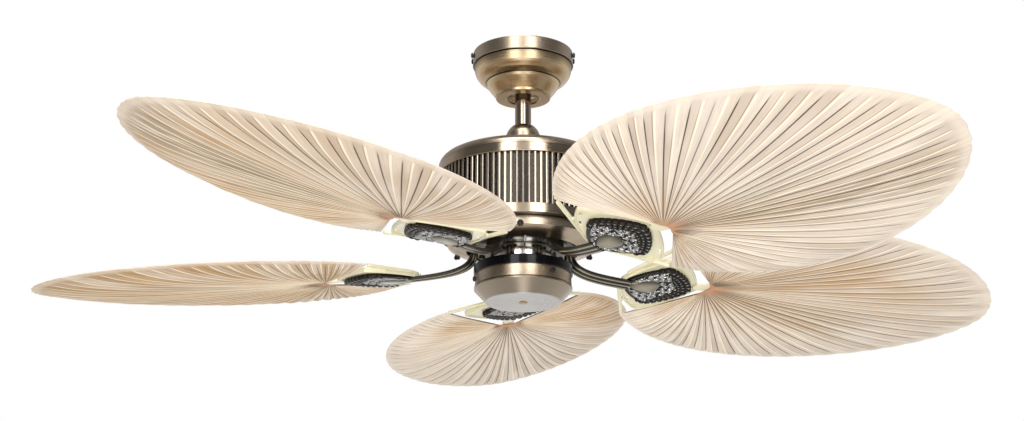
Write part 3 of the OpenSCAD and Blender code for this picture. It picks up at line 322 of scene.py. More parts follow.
def leaf_material():
    """Bleached palm: U counts the pleats and V runs from the root, 0, to the edge, 1."""
    s = Shader("palm")
    u, v, _ = s.split(s.add("ShaderNodeUVMap", uv_map="pleats").outputs[0])
    f = s.math("FRACT", u)
    near_crease = s.math("MINIMUM", f, s.math("SUBTRACT", 1.0, f))
    near_rib = s.math("ABSOLUTE", s.math("SUBTRACT", f, 0.5))
    tan = s.layer("tan")
    green = s.layer("green")
    number = s.math("FLOOR", s.math("ADD", u, 0.5))
    pleat = s.noise(s.vector(s.times(number, 7.31), s.times(v, 1.6)), 1.0, 2.0, 0.5)
    wide = s.noise(s.vector(s.times(u, 0.8), s.times(v, 1.4)), 1.0, 3.0, 0.6)
    streak = s.noise(s.vector(s.times(u, 5.0), s.times(v, 3.0)), 1.0, 3.0, 0.65)
    fibre = s.noise(s.vector(s.times(u, 26.0), s.times(v, 6.0)), 1.0, 2.0, 0.6)
    some_pleats = s.step(pleat, 0.35, 0.60)

    c = s.mix(s.step(wide, 0.35, 0.7), PALM["cream"], PALM["pinkish"])
    c = s.mix(s.times(s.step(pleat, 0.45, 0.75), 0.45), c, PALM["tanned"])
    # One side of each pleat is painted greyer, as shade on the side of the fold turned from the
    # light
    shaded_face = s.times(s.step(f, 0.44, 0.60), s.step(pleat, 0.30, 0.62))
    c = s.mix(s.times(shaded_face, 0.55), c, PALM["shaded side"])
    toned = s.times(s.step(streak, 0.12, 0.50), s.math("MULTIPLY_ADD", some_pleats, 0.6, 0.4))
    c = s.mix(s.times(tan, toned), c, PALM["tan"])
    c = s.mix(s.times(green, s.step(streak, 0.38, 0.56)), c, PALM["green"])
    c = s.mix(s.times(s.step(streak, 0.50, 0.72), 0.35), c, PALM["streak"])
    c = s.mix(s.times(s.step(fibre, 0.50, 0.75), 0.30), c, PALM["streak"])
    # A pale rib runs down the middle of each pleat, its colour partly a painted highlight along the
    # ridge, with a painted shadow line beside it
    inside_hem = s.step(v, 0.972, 0.945)
    rib = s.times(s.step(near_rib, 0.085, 0.03), inside_hem)
    c = s.mix(s.times(rib, 0.75), c, PALM["rib"])
    shadow_by_rib = s.math("ABSOLUTE", s.math("SUBTRACT", f, 0.585))
    shadow_by_rib = s.times(s.step(shadow_by_rib, 0.04, 0.01), s.times(inside_hem, some_pleats))
    c = s.mix(s.times(shadow_by_rib, 0.85), c, PALM["shadow by rib"])
    # Creases are painted dark as shade in the folds, darker still where the leaf is greenish; they
    # keep a real width, so they fill more of each pleat towards the root
    reach = s.math("ADD", 0.018, s.math("DIVIDE", 0.030, s.math("ADD", v, 0.02)))
    crease_shade = s.times(s.step(near_crease, reach, s.times(reach, 0.25)), s.step(v, 0.965, 0.90))
    strength = s.math("MULTIPLY_ADD", pleat, 2.0, -0.05)
    strength = s.math("ADD", strength, s.times(green, 0.8), clamp=True)
    c = s.mix(s.times(crease_shade, strength), c, PALM["crease_shade"])
    c = s.mix(s.times(s.step(v, 0.955, 0.985), 0.45), c, PALM["hem"])
    c = s.mix(s.layer("root"), c, PALM["root"])
    dark = s.times(s.layer("dark"), s.step(near_crease, 0.50, 0.22))
    c = s.mix(dark, c, PALM["dark start"])
    height = s.math("ADD", s.times(fibre, 0.6), s.times(streak, 0.4))
    s.finish(c, 0.0, 0.55, s.bump(height, 0.35, 0.0006))
    s.bsdf.inputs["Specular IOR Level"].default_value = 0.25
    return s.mat


# Colours of a polished boss: painted shade at its edge and a painted highlight in its middle
BOSS_SHADE, BOSS_HIGHLIGHT = (0.030, 0.026, 0.020), (0.36, 0.32, 0.24)


def iron_material(name, dark, bright, rough):
    """Cast antique bronze: dark in the hollows, rubbed bright where its layer of rubbing says so,
    with painted glints in that layer too, and polished where the layer boss does, with painted
    shade at the boss's edge and a painted highlight in its middle."""
    s = Shader(name)
    n = s.noise(s.place(), 210.0, 5.0, 0.65)
    boss = s.layer("boss")
    rub_and_glint = s.times(s.layer("rub_and_glint"), s.math("MULTIPLY_ADD", n, 0.9, 0.5), clamp=True)
    polished = s.step(boss, 0.0, 0.1)
    c = s.mix(polished, s.mix(rub_and_glint, dark, bright), s.mix(boss, BOSS_SHADE, BOSS_HIGHLIGHT))
    r = s.math("MULTIPLY_ADD", polished, -0.06, rough)
    metallic = s.math("MAXIMUM", polished, s.math("MULTIPLY_ADD", rub_and_glint, 0.15, 0.8), clamp=True)
    grain = s.times(n, s.math("SUBTRACT", 1.0, polished))
    return s.finish(c, metallic, r, s.bump(grain, 0.25, 0.0004))


# ---------------------------------------------------------------- the fan's materials
BRASS, BRASS_DARK = (0.48, 0.385, 0.285), (0.38, 0.295, 0.205)
GOLDEN = (0.47, 0.345, 0.20)
# Darker brass painted on the cup's flank as shade
CUP_FLANK_SHADE = (0.34, 0.285, 0.225)
SILVER = (0.50, 0.495, 0.49)
# Heights: the canopy's two steps, the housing's bright bands and the line under the lower one, and
# the cup's waist, flank and bottom
CANOPY_STEPS = (-0.019, -0.0434)
BRIGHT_BANDS = ((-0.1758, -0.1640), (-0.2567, -0.2442))
BAND_JOINT = -0.2571
CUP_WAIST, CUP_FLANK, CUP_BOTTOM = -0.3250, -0.3262, -0.3441
# Radii at which the sleeve turns from the painted shade of its hollows to its ribs
SLEEVE_HOLLOW_R, SLEEVE_RIB_R = 0.1064, 0.1090

M = {
    "brushed_brass": turned_metal("brushed_brass", BRASS, BRASS_DARK, 0.25, anisotropic=0.55),
    "canopy_brass": turned_metal("canopy_brass", BRASS, BRASS_DARK, 0.25, joints=CANOPY_STEPS,
                                 below=((CANOPY_STEPS[0], GOLDEN),), anisotropic=0.55),
    "cup_brass": turned_metal("cup_brass", BRASS, BRASS_DARK, 0.25, joints=(CUP_WAIST,),
                              below=((CUP_FLANK, CUP_FLANK_SHADE), (CUP_BOTTOM, SILVER)), anisotropic=0.55),
    "banded_brass": turned_metal("banded_brass", BRASS, BRASS_DARK, 0.25, bands=BRIGHT_BANDS,
                                 joints=(BAND_JOINT,), anisotropic=0.4),
    "rod_brass": turned_metal("rod_brass", (0.42, 0.35, 0.27), BRASS_DARK, 0.15, 0.03),
    # The sleeve's second colour is painted shade in the hollows between its ribs
    "sleeve_brass": ribbed_metal("sleeve_brass", (0.43, 0.37, 0.30), (0.045, 0.038, 0.032),
                                 SLEEVE_HOLLOW_R, SLEEVE_RIB_R, 0.26),
    "polished": turned_metal("polished", (0.84, 0.81, 0.75), (0.70, 0.66, 0.60), 0.09, 0.03),
    "plug_bronze": turned_metal("plug_bronze", (0.50, 0.30, 0.13), (0.40, 0.22, 0.10), 0.32, 0.04),
    "zinc_steel": plain_metal("zinc_steel", (0.62, 0.63, 0.65), 0.38),
    "seat_steel": plain_metal("seat_steel", (0.07, 0.07, 0.075), 0.45),
    "cast_alloy": plain_metal("cast_alloy", (0.56, 0.57, 0.58), 0.5, 120.0, 0.8),
    "laminations": plain_metal("laminations", (0.34, 0.35, 0.37), 0.42, 300.0),
    "winding": plain_metal("winding", (0.62, 0.28, 0.13), 0.3, 500.0),
    "bearing_steel": plain_metal("bearing_steel", (0.72, 0.73, 0.75), 0.16, 40.0, 0.85),
    "black_steel": moulded("black_steel", (0.007, 0.007, 0.008), 0.30, 400.0, specular=0.35),
    "black_gloss": moulded("black_gloss", (0.002, 0.002, 0.003), 0.13, 150.0, specular=0.18),
    "hanger_plastic": moulded("hanger_plastic", (0.03, 0.028, 0.026), 0.45),
    "cream_plastic": moulded("cream_plastic", (0.74, 0.68, 0.46), 0.22, 500.0, 0.4),
    "capacitor_case": moulded("capacitor_case", (0.02, 0.021, 0.023), 0.4),
    "terminal_plastic": moulded("terminal_plastic", (0.78, 0.77, 0.72), 0.4),
    "palm": leaf_material(),
    "iron_arm": iron_material("iron_arm", (0.022, 0.019, 0.014), (0.48, 0.43, 0.32), 0.24),
    "iron_relief": iron_material("iron_relief", (0.022, 0.018, 0.014), (0.46, 0.455, 0.44), 0.24),
}
OF_SLOT = {"antique_brass": "brushed_brass", "antique_iron": "iron_arm"}
OF_NODE = {row["node"]: OF_SLOT.get(row["material_slot"], row["material_slot"])
           for row in frame["record"]["subparts"]}
OF_NODE.update(hanger_bracket="seat_steel", downrod="rod_brass", housing_top="banded_brass",
               housing_bottom="banded_brass", canopy="canopy_brass", switch_cup="cup_brass")
for name, obj in nodes.items():
    obj.data.materials.clear()
    obj.data.materials.append(M[OF_NODE[name]])


# ---------------------------------------------------------------- palm leaves
def leaf_edge(t, trim):
    """Points of the leaf's oval in the directions t."""
    c, s = np.cos(t), np.sin(t)
    x = LEAF_MID + (LEAF_A - np.where(c > 0, trim, 0)) * c
    y = LEAF_B * np.sign(s) * np.abs(s) ** LEAF_POWER * (1 + LEAF_TAPER * c)
    return np.stack([x, y], -1)


def leaf_phase(fold):
    """Direction on the oval of a fold, counted from 0 to twice the number of pleats."""
    u = 1 - fold / PLEATS
    return np.radians(LEAF_PHASE * (u + SPREAD * np.sin(np.pi * u) / np.pi))


def smooth(x, low, high):
    """Smoothly 0 at low and 1 at high."""
    t = np.clip((x - low) / (high - low), 0, 1)
    return t * t * (3 - 2 * t)


# Tones of each leaf in turn, across it from one corner of its notch, 0, to the other, 1. DARK is
# where most creases start dark, ROOT_TAN is how tan the leaf is round its root, and TAN and GREEN
# have the middle, width and strength of each sector and how far out it goes.
DARK = [0.30, 0.30, 0.62, 0.30, 0.45]
ROOT_TAN = [0.55, 0.50, 0.65, 0.30, 0.75]
TAN = [
    [(0.12, 0.12, 0.50, 0.80), (0.52, 0.05, 0.65, 1.0), (0.74, 0.12, 1.0, 1.4),
     (0.45, 0.50, 0.35, 1.6)],
    [(0.08, 0.08, 0.40, 0.80), (0.42, 0.05, 0.40, 0.70), (0.82, 0.09, 0.45, 0.60)],
    [(0.04, 0.05, 0.65, 0.80), (0.40, 0.07, 0.60, 0.75), (0.62, 0.09, 0.80, 0.90),
     (0.85, 0.12, 0.60, 0.50)],
    [(0.10, 0.13, 1.0, 0.9), (0.86, 0.13, 1.0, 1.5)],
    [(0.10, 0.12, 0.60, 0.80), (0.33, 0.05, 0.60, 0.90), (0.48, 0.10, 0.90, 1.3),
     (0.75, 0.10, 0.40, 0.40), (0.45, 0.60, 1.0, 1.6)],
]
GREEN = [
    [(0.565, 0.055, 1.0, 1.15), (0.12, 0.06, 0.5, 0.6), (0.66, 0.03, 0.8, 0.8),
     (0.78, 0.05, 0.6, 0.6)],
    [(0.43, 0.035, 0.85, 1.1), (0.50, 0.03, 0.5, 0.8), (0.20, 0.04, 0.5, 0.6)],
    [(0.42, 0.05, 0.5, 0.8), (0.65, 0.03, 0.5, 0.6)],
    [(0.19, 0.03, 0.3, 0.5)],
    [(0.08, 0.06, 0.6, 0.6), (0.40, 0.03, 0.6, 0.8), (0.55, 0.03, 0.5, 0.9),
     (0.50, 0.50, 0.30, 1.6)],
]

# Places of the mesh's points across each pleat, and along it from the root to the edge
ACROSS = np.array([0, 0.05, 0.14, 0.28, 0.41, 0.455, 0.5, 0.545, 0.59, 0.72, 0.86, 0.95])
ALONG = np.concatenate([np.linspace(0.012, 0.06, 5)[:-1], np.linspace(0.06, 0.88, 19)[:-1],
                        np.linspace(0.88, 1.0, 9)])


# Leaves count their pleats this far apart, so that each gets its own noise
UV_STEP = 64.0
# Half the width of the rib down the middle of a pleat, as a share of the pleat, and its height
RIB_HALF_W, RIB_H = 0.035, 0.45


def leaf_grid(i, pleat, own_depth, wobble):
    """Points in the middle of leaf i's sheet, row by row from its root to its edge."""
    f = pleat % 1.0
    edge = leaf_edge(leaf_phase(2 * (pleat + wobble)), LEAF_TRIM[i])
    turned = 1 - 2 * pleat / PLEATS
    depth = PLEAT_DEPTH * np.sqrt((1 + SPREAD * np.cos(np.pi * turned)) / (1 + SPREAD)) * own_depth
    pillow = np.sin(np.pi * np.clip(f, 0, 1)) ** 0.70
    rib = np.exp(-((f - 0.5) / RIB_HALF_W) ** 2)
    s = ALONG[:, None]
    root = np.array(LEAF_ROOT[i]) + np.stack([0 * turned, CREST * turned], -1)
    scallop = 0.0022 + 0.004 * (1 - pillow)
    reach = s * (1 - scallop * np.clip((s - 0.9) / 0.1, 0, 1))
    plan = root + reach[..., None] * (edge - root)[None]
    # Pleats start steeply at the root and are pressed flat into the hem
    flat = 1 - 0.86 * smooth(s, 0.84, 0.97)
    swell = smooth(s, 0.02, 0.10) * np.minimum(1.0, (s / 0.9) ** 0.8) * flat
    sag = DISH * (1 - 0.85 * turned ** 4)
    z = -DIP * (1 - s) - sag * s * (1 - s ** 3) - depth * (pillow - 0.5) * swell
    z = z - RIB_H * rib * smooth(s, 0.05, 0.15) * (1 - smooth(s, 0.92, 0.98))
    return np.concatenate([plan, z[..., None]], -1)


def leaf_faces(rows, cols):
    """Faces of a sheet's lower and upper grids and of the rim between them."""
    n = rows * cols
    faces = grid_faces(rows, cols, 0, True) + grid_faces(rows, cols, n)
    rim = [r * cols for r in range(rows)]
    rim += [(rows - 1) * cols + c for c in range(1, cols)]
    rim += [r * cols + cols - 1 for r in range(rows - 2, -1, -1)]
    rim += list(range(cols - 2, 0, -1))
    for a, b in zip(rim, rim[1:] + rim[:1]):
        faces.append([a, b, b + n, a + n])
    return faces


def leaf_layers(i, pleat, lead):
    """Where leaf i is tan, greenish, orange at its root, and dark at the starts of its creases."""
    side = pleat / PLEATS
    rows, cols = len(ALONG), len(pleat)
    s = np.repeat(ALONG, cols)
    tan = ROOT_TAN[i] * (1 - smooth(s, 0.05, 0.42))
    green = np.zeros(rows * cols)
    for sectors, layer in ((TAN[i], tan), (GREEN[i], green)):
        for centre, width, how, far in sectors:
            across = how * np.exp(-((side - centre) / width) ** 2)
            layer += np.tile(across, rows) * (1 - smooth(s, far - 0.3, far))
    root = 0.75 * (1 - smooth(s, 0.03, 0.085))
    # Most of the dark starts are near one place, where the pleats leave the crest
    lead = np.clip(lead * (0.25 + np.exp(-((side - DARK[i]) / 0.20) ** 2)), 0, 1)
    dark = smooth(s, 0.022, 0.034) * (1 - smooth(s, 0.07, 0.17)) * np.tile(lead, rows)
    return {"tan": tan, "green": green, "root": root, "dark": dark}


def leaf(i):
    rng = np.random.default_rng(40 + i)
    # Place of each column of points, from one corner of the notch, 0, to the other, PLEATS
    pleat = np.concatenate([(k + ACROSS) for k in range(PLEATS)] + [[PLEATS]])
    k = np.minimum(pleat.astype(int), PLEATS - 1)
    shift = rng.normal(0, 0.07, PLEATS + 1)
    shift[0] = shift[-1] = 0
    wobble = np.interp(pleat, np.arange(PLEATS + 1), shift)
    own_depth = rng.uniform(0.50, 0.85, PLEATS)[k]
    # Pleats start dark in groups of three
    lead = rng.uniform(-0.6, 1.4, PLEATS)[k - k % 3]

    rows, cols = len(ALONG), len(pleat)
    middle = leaf_grid(i, pleat, own_depth, wobble).reshape(-1, 3)
    half = np.array([0, 0, LEAF_HALF_T])
    verts = np.concatenate([middle - half, middle + half])
    obj = new_piece(f"leaf_{i + 1}", verts, leaf_faces(rows, cols), blade_matrix(i), 55)
    for name, values in leaf_layers(i, pleat, lead).items():
        point_layer(obj, name, np.tile(np.clip(values, 0, 1), 2))
    u = np.minimum(pleat + UV_STEP * i, UV_STEP * i + PLEATS - 0.001)
    uv = np.tile(np.stack([np.tile(u, rows), np.repeat(ALONG, cols)], -1), (2, 1))
    loops = np.zeros(len(obj.data.loops), np.int32)
    obj.data.loops.foreach_get("vertex_index", loops)
    layer = obj.data.uv_layers.new(name="pleats")
    layer.data.foreach_set("uv", uv[loops].reshape(-1).astype(np.float32))
    obj.data.materials.append(M["palm"])
    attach(obj, "rotor")
    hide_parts(f"palm_leaf_{i + 1}")


for i in BLADES:
    leaf(i)


# ---------------------------------------------------------------- blade irons
def lozenge(mid, a, b, power, t):
    """Points of a rounded lozenge in the directions t.

    a and power are pairs: first for its half towards the hub, and then for its outer half.
    """
    c, s = np.cos(t), np.sin(t)
    aa = np.where(c > 0, a[1], a[0])
    pp = np.where(c > 0, power[1], power[0])
    q = ((np.abs(c) / aa) ** pp + (np.abs(s) / b) ** pp) ** (-1 / pp)
    return np.stack([mid + q * c, q * s], -1)


def drop_side(t, b):
    """How far a drop with its point towards the hub reaches to the side in the directions t."""
    return b * np.sin(t) * (np.cos(t / 2) ** 2) ** 0.35 * 1.12


def drop_outline(mid, a, b, count):
    t = np.linspace(0, 2 * np.pi, count, endpoint=False)
    return np.stack([mid + a * np.cos(t), drop_side(t, b)], -1)


def inside_drop(p, mid, a, b):
    """Share of the way from the drop's middle, 0, to its outline, 1, for points p."""
    x = (p[:, 0] - mid) / a
    side = drop_side(np.arccos(np.clip(x, -1, 1)), b)
    return np.maximum(np.abs(p[:, 1]) / np.maximum(side, 1e-3), np.abs(x))


def spiral(centre, heading, size, hand, turns=1.35):
    """A scroll that winds in to its centre."""
    t = np.linspace(0, 1, 26)
    r = size * (1 - 0.86 * t)
    a = heading + hand * 2 * np.pi * turns * t
    return centre + np.stack([r * np.cos(a), r * np.sin(a)], -1)


def ridge_height(points, lines, width):
    """Height, 0 to 1, of rounded ridges that run along polylines."""
    best = np.full(len(points), 1e9)
    for line in lines:
        a, b = line[:-1], line[1:]
        mid = line.mean(0)
        size = np.abs(line - mid).max() + 3 * width
        near = np.where((np.abs(points - mid) < size).all(1))[0]
        if not len(near):
            continue
        p = points[near][:, None]
        d = b - a
        t = np.clip(((p - a) * d).sum(-1) / np.maximum((d * d).sum(-1), 1e-9), 0, 1)
        gap = np.sqrt((((a + t[..., None] * d) - p) ** 2).sum(-1)).min(1)
        best[near] = np.minimum(best[near], gap)
    return np.sqrt(np.clip(1 - (best / width) ** 2, 0, 1))


def vine(line, waves, swing):
    """A closed line that swings to and fro across the given one."""
    ahead = np.roll(line, -2, 0) - np.roll(line, 2, 0)
    across = np.stack([-ahead[:, 1], ahead[:, 0]], -1)
    across /= np.linalg.norm(ahead, axis=1)[:, None]
    t = np.linspace(0, 2 * np.pi * waves, len(line), endpoint=False)
    return line + across * swing * np.sin(t)[:, None]


def along(line, count):
    """Even places on a closed line, with the line's heading there."""
    parts = np.diff(np.vstack([line, line[:1]]), axis=0)
    length = np.concatenate([[0], np.cumsum(np.linalg.norm(parts, axis=1))])
    for n in range(count):
        j = np.searchsorted(length, length[-1] * (n + 0.5) / count) % len(line)
        ahead = line[(j + 3) % len(line)] - line[j - 3]
        yield n, line[j], math.atan2(ahead[1], ahead[0])


# Rings of vines round the boss: half length and half width of each, its number of waves and of
# scrolls, how far the vine swings, and the size of the scrolls
VINE_RINGS = ((27.5, 23.0, 17, 1.7, 3.3), (35.5, 32.0, 25, 1.9, 3.4),
              (43.0, 39.0, 31, 1.9, 3.2), (51.0, 45.0, 37, 1.9, 3.2))
VINE_HALF_W = 0.85
# Rows of beads, from the lobes inwards: the middle and half width of each, as shares of the way
# out, and the angle at which it ends
BEAD_ROWS = ((0.915, 0.085, 112), (0.765, 0.062, 90), (0.645, 0.055, 64))
# Point that the medallion's grid spreads from
MEDALLION_POLE = np.array([187.0, 0.0])


def medallion_lines():
    """Vines and scrolls of the border between the smooth boss and the lobes."""
    lines = []
    for a, b, waves, swing, curl in VINE_RINGS:
        ring = drop_outline(BOSS_R + 0.3 * (a - VINE_RINGS[0][0]), a, b, 400)
        lines.append(vine(ring, waves, swing))
        for n, place, heading in along(ring, waves):
            hand = 1 if n % 2 else -1
            centre = place + 2.4 * hand * np.array([-math.sin(heading), math.cos(heading)])
            lines.append(spiral(centre, heading, curl, hand))
    return lines


def medallion():
    """Points and faces of the medallion, in the blade's own frame, with its layer of rubbing and
    painted glints and its layer of the boss with its painted highlight.
    """
    cols, rows = 504, 84
    t = np.linspace(-np.pi, np.pi, cols, endpoint=False)
    degrees = np.degrees(t)
    edge = lozenge(MEDALLION_MID, (MEDALLION_A, MEDALLION_A), MEDALLION_B,
                   (MEDALLION_POWER, MEDALLION_POWER), t)
    # Lobes stand along the outer sides only
    lobe = (degrees + LOBE_END) / (2 * LOBE_END) * (LOBES - 1)
    has = smooth(degrees, -LOBE_END - 6, -LOBE_END) * (1 - smooth(degrees, LOBE_END, LOBE_END + 6))
    round_lobe = np.sqrt(np.clip(1 - (2 * (lobe - np.round(lobe))) ** 2 * 0.96, 0, 1))
    notch = 0.055 * (1 - has * (0.35 + 0.65 * round_lobe))
    spoke = (edge - MEDALLION_POLE) * (1 - notch)[:, None]
    share = np.linspace(0.0, 1.0, rows) ** 0.92
    share[0] = 0.004
    flat = (MEDALLION_POLE + share[:, None, None] * spoke[None]).reshape(-1, 2)
    s = np.repeat(share, cols)

    # Each row of beads covers a narrower sector than the one outside it
    beads = np.zeros(len(flat))
    for middle, half, sector in BEAD_ROWS:
        there = smooth(degrees, -sector, 6 - sector) * (1 - smooth(degrees, sector - 6, sector))
        row = np.sqrt(np.clip(1 - ((s - middle) / half) ** 2, 0, 1))
        beads = np.maximum(beads, row * np.tile(there * round_lobe, rows))
    z = MEDALLION_LOW - 3.0 * beads

    # Smooth boss with a bead round it
    d = inside_drop(flat, BOSS_R, BOSS_A, BOSS_B)
    dome = np.sqrt(np.clip(1 - d ** 2, 0, 1))
    # The layer boss is a painted highlight, dim at the boss's edge and brightest in the middle of
    # its dome
    boss = np.where(d < 0.99, 0.15 + 0.85 * dome ** 2.5, 0.0)
    z = np.where(boss > 0, MEDALLION_LOW - 0.4 - 3.6 * dome, z)
    bead = np.exp(-((d - 1.06) / 0.05) ** 2)
    z = np.where(d >= 0.99, np.minimum(z, MEDALLION_LOW - 2.1 * bead), z)
    # Bright along the bead round the boss, and painted glints on the tops of the beads
    rub_and_glint = 0.8 * np.maximum(bead * (d >= 1.02), smooth(beads, 0.93, 0.995))

    # Filigree in the field between
    carve = ridge_height(flat, medallion_lines(), VINE_HALF_W)
    field = (d > 1.10) & (beads < 0.05) & (s < 0.86)
    z = np.where(field, np.minimum(z, MEDALLION_LOW + 0.8 - 3.0 * carve), z)
    rub_and_glint = np.where(field, np.maximum(rub_and_glint, smooth(carve, 0.45, 0.9)), rub_and_glint)

    back = np.column_stack([MEDALLION_POLE + 0.985 * spoke, np.full(cols, MEDALLION_TOP)])
    verts = np.vstack([np.column_stack([flat, z]), back, [[*MEDALLION_POLE, MEDALLION_TOP]]])
    n = rows * cols
    faces = grid_faces(rows, cols, 0, True, True)
    for c in range(cols):
        e = (c + 1) % cols
        faces.append([n + c, n + e, n - cols + e, n - cols + c])
        faces.append([n + c, n + e, n + cols])
    faces.append(list(range(cols))[::-1])
    on_back = np.zeros(cols + 1)
    return verts, faces, np.concatenate([rub_and_glint, on_back]), np.concatenate([boss, on_back])


def bezier(p, t):
    t = t[:, None]
    u = 1 - t
    return u ** 3 * p[0] + 3 * u ** 2 * t * p[1] + 3 * u * t * t * p[2] + t ** 3 * p[3]


# Radius and height of the points that shape the arm's curve
ARM_PATH = np.array([[65.0, -274.0], [67.0, -296.0], [86.0, BLADE_Z - 4.5],
                     [150.0, BLADE_Z - 8.1]])
# Depth of the hollows between its three ridges, as a share of its thickness
FLUTE = 0.20
# Radius and height of the flange's section, and half the angle that it covers
FLANGE = [[44.2, -270.8], [44.2, -275.0], [44.8, -275.4], [67.6, -275.4], [68.6, -275.0],
          [69.0, -274.2], [69.0, -271.1], [68.7, -270.9]]
FLANGE_HALF_ANGLE = 34
# How rubbed a plain surface of the iron is
PLAIN_RUB = 0.12


def arm(pitch):
    """The curved arm, in the frame turned to the blade's azimuth but not pitched."""
    t = np.linspace(0, 1, 56)
    p = bezier(ARM_PATH, t)
    slope = np.gradient(p, t, axis=0)
    slope /= np.linalg.norm(slope, axis=1)[:, None]
    turned = np.radians(pitch) * t * t * (3 - 2 * t)
    thick = ARM_T * (1 - 0.08 * t)
    wide = ARM_W * (1 + 0.10 * (1 - t) ** 4 - 0.12 * t)
    a = np.linspace(0, 2 * np.pi, 72, endpoint=False)
    u = np.cos(a)
    up = np.sin(a) > 0
    # The ridges run along the side that shows from below
    flute = FLUTE * (1 - np.cos(np.radians(540 * u))) / 2
    under = -(0.5 * np.sqrt(np.clip(1 - u * u * 0.92, 0, 1)) - flute * (1 - u ** 8))
    over = 0.42 * (1 - np.abs(u) ** 7)
    h = np.where(up, over, under)
    y = u[None] * wide[:, None] / 2
    hh = h[None] * thick[:, None]
    yy = y * np.cos(turned)[:, None] - hh * np.sin(turned)[:, None]
    zz = y * np.sin(turned)[:, None] + hh * np.cos(turned)[:, None]
    x = p[:, :1] - slope[:, 1:] * zz
    z = p[:, 1:] + slope[:, :1] * zz
    verts = np.stack([x, yy, z], -1).reshape(-1, 3)
    # Ridges underneath are rubbed bright and carry a painted highlight along their tops; the rest
    # is plainly rubbed
    rub_and_glint = np.tile(np.where(up, PLAIN_RUB, 0.95 * np.clip(1 - flute / FLUTE, 0, 1) ** 4), len(t))
    faces = grid_faces(len(t), len(a), 0, False, True)
    faces.append(list(range(len(a))))
    faces.append([(len(t) - 1) * len(a) + c for c in range(len(a))][::-1])
    return verts, faces, rub_and_glint


def flange():
    """The sector that bolts under the flywheel, with rounded edges."""
    angles = np.radians(np.linspace(-FLANGE_HALF_ANGLE, FLANGE_HALF_ANGLE, 48))
    verts = np.array([[r * math.cos(a), r * math.sin(a), z] for a in angles for r, z in FLANGE])
    n = len(FLANGE)
    faces = grid_faces(len(angles), n, 0, True, True)
    faces.append(list(range(n))[::-1])
    faces.append([(len(angles) - 1) * n + c for c in range(n)])
    return verts, faces, np.full(len(verts), PLAIN_RUB)


def join_shells(*shells):
    verts, faces = [], []
    for v, f in shells:
        start = sum(map(len, verts))
        verts.append(v)
        faces += [[start + int(c) for c in q] for q in f]
    return np.vstack(verts), faces


relief_verts, relief_faces, relief_rub_and_glint, relief_boss = medallion()
flange_verts, flange_faces, flange_rub = flange()
for i in BLADES:
    arm_verts, arm_faces, arm_rub_and_glint = arm(PITCH[i])
    verts, faces = join_shells((arm_verts, arm_faces), (flange_verts, flange_faces))
    iron = new_piece(f"iron_arm_{i + 1}", verts, faces, blade_matrix(i, False), 50)
    point_layer(iron, "rub_and_glint", np.concatenate([arm_rub_and_glint, flange_rub]))
    iron.data.materials.append(M["iron_arm"])
    relief = new_piece(f"iron_relief_{i + 1}", relief_verts, relief_faces, blade_matrix(i), 60)
    point_layer(relief, "rub_and_glint", relief_rub_and_glint)
    point_layer(relief, "boss", relief_boss)
    relief.data.materials.append(M["iron_relief"])
    for o in (iron, relief):
        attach(o, "rotor")
    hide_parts(f"blade_iron_{i + 1}")


# ---------------------------------------------------------------- blade frames
def plate(outlines, low, high, bevel):
    """A flat plate with holes and rounded edges, as points and faces."""
    curve = bpy.data.curves.new("plate", "CURVE")
    curve.dimensions = "2D"
    curve.fill_mode = "BOTH"
    curve.extrude = (high - low) / 2 - bevel
    curve.bevel_depth = bevel
    curve.bevel_resolution = 2
    curve.offset = -bevel
    for line in outlines:
        sp = curve.splines.new("POLY")
        sp.points.add(len(line) - 1)
        for q, (x, y) in zip(sp.points, line):
            q.co = (x, y, 0, 1)
        sp.use_cyclic_u = True
    obj = add_object("plate", curve)
    mesh = obj.evaluated_get(bpy.context.evaluated_depsgraph_get()).to_mesh()
    v = np.array([x.co for x in mesh.vertices])
    f = [list(p.vertices) for p in mesh.polygons]
    bpy.data.objects.remove(obj)
    bpy.data.curves.remove(curve)
    v[:, 2] += (low + high) / 2
    return v, f


def frame_points(inset, t):
    """Points in the directions t of the frame's outline, drawn in by inset."""
    a = (FRAME_A[0] - inset, FRAME_A[1] - inset)
    return lozenge(FRAME_MID, a, FRAME_B - inset, FRAME_POWER, t)


def frame_point(inset, degrees):
    return frame_points(inset, np.radians([degrees]))[0]


def frame_line(inset):
    return frame_points(inset, np.linspace(0, 2 * np.pi, 96, endpoint=False))


def rounded_bar(p, q, width, count=7):
    """Outline of a flat bar from p to q with round ends of count points."""
    d = (q - p) / np.linalg.norm(q - p)
    heading = math.atan2(d[1], d[0])
    r = width / 2
    out = []
    for end, start in ((q - d * r, heading - math.pi / 2), (p + d * r, heading + math.pi / 2)):
        for k in range(count):
            a = start + math.pi * k / (count - 1)
            out.append(end + r * np.array([math.cos(a), math.sin(a)]))
    return np.array(out)


# Slots at each side of the plate: place round the frame and heading, in degrees, and length
SLOTS = ((78, -42, 11), (96, 4, 10), (118, 50, 11))


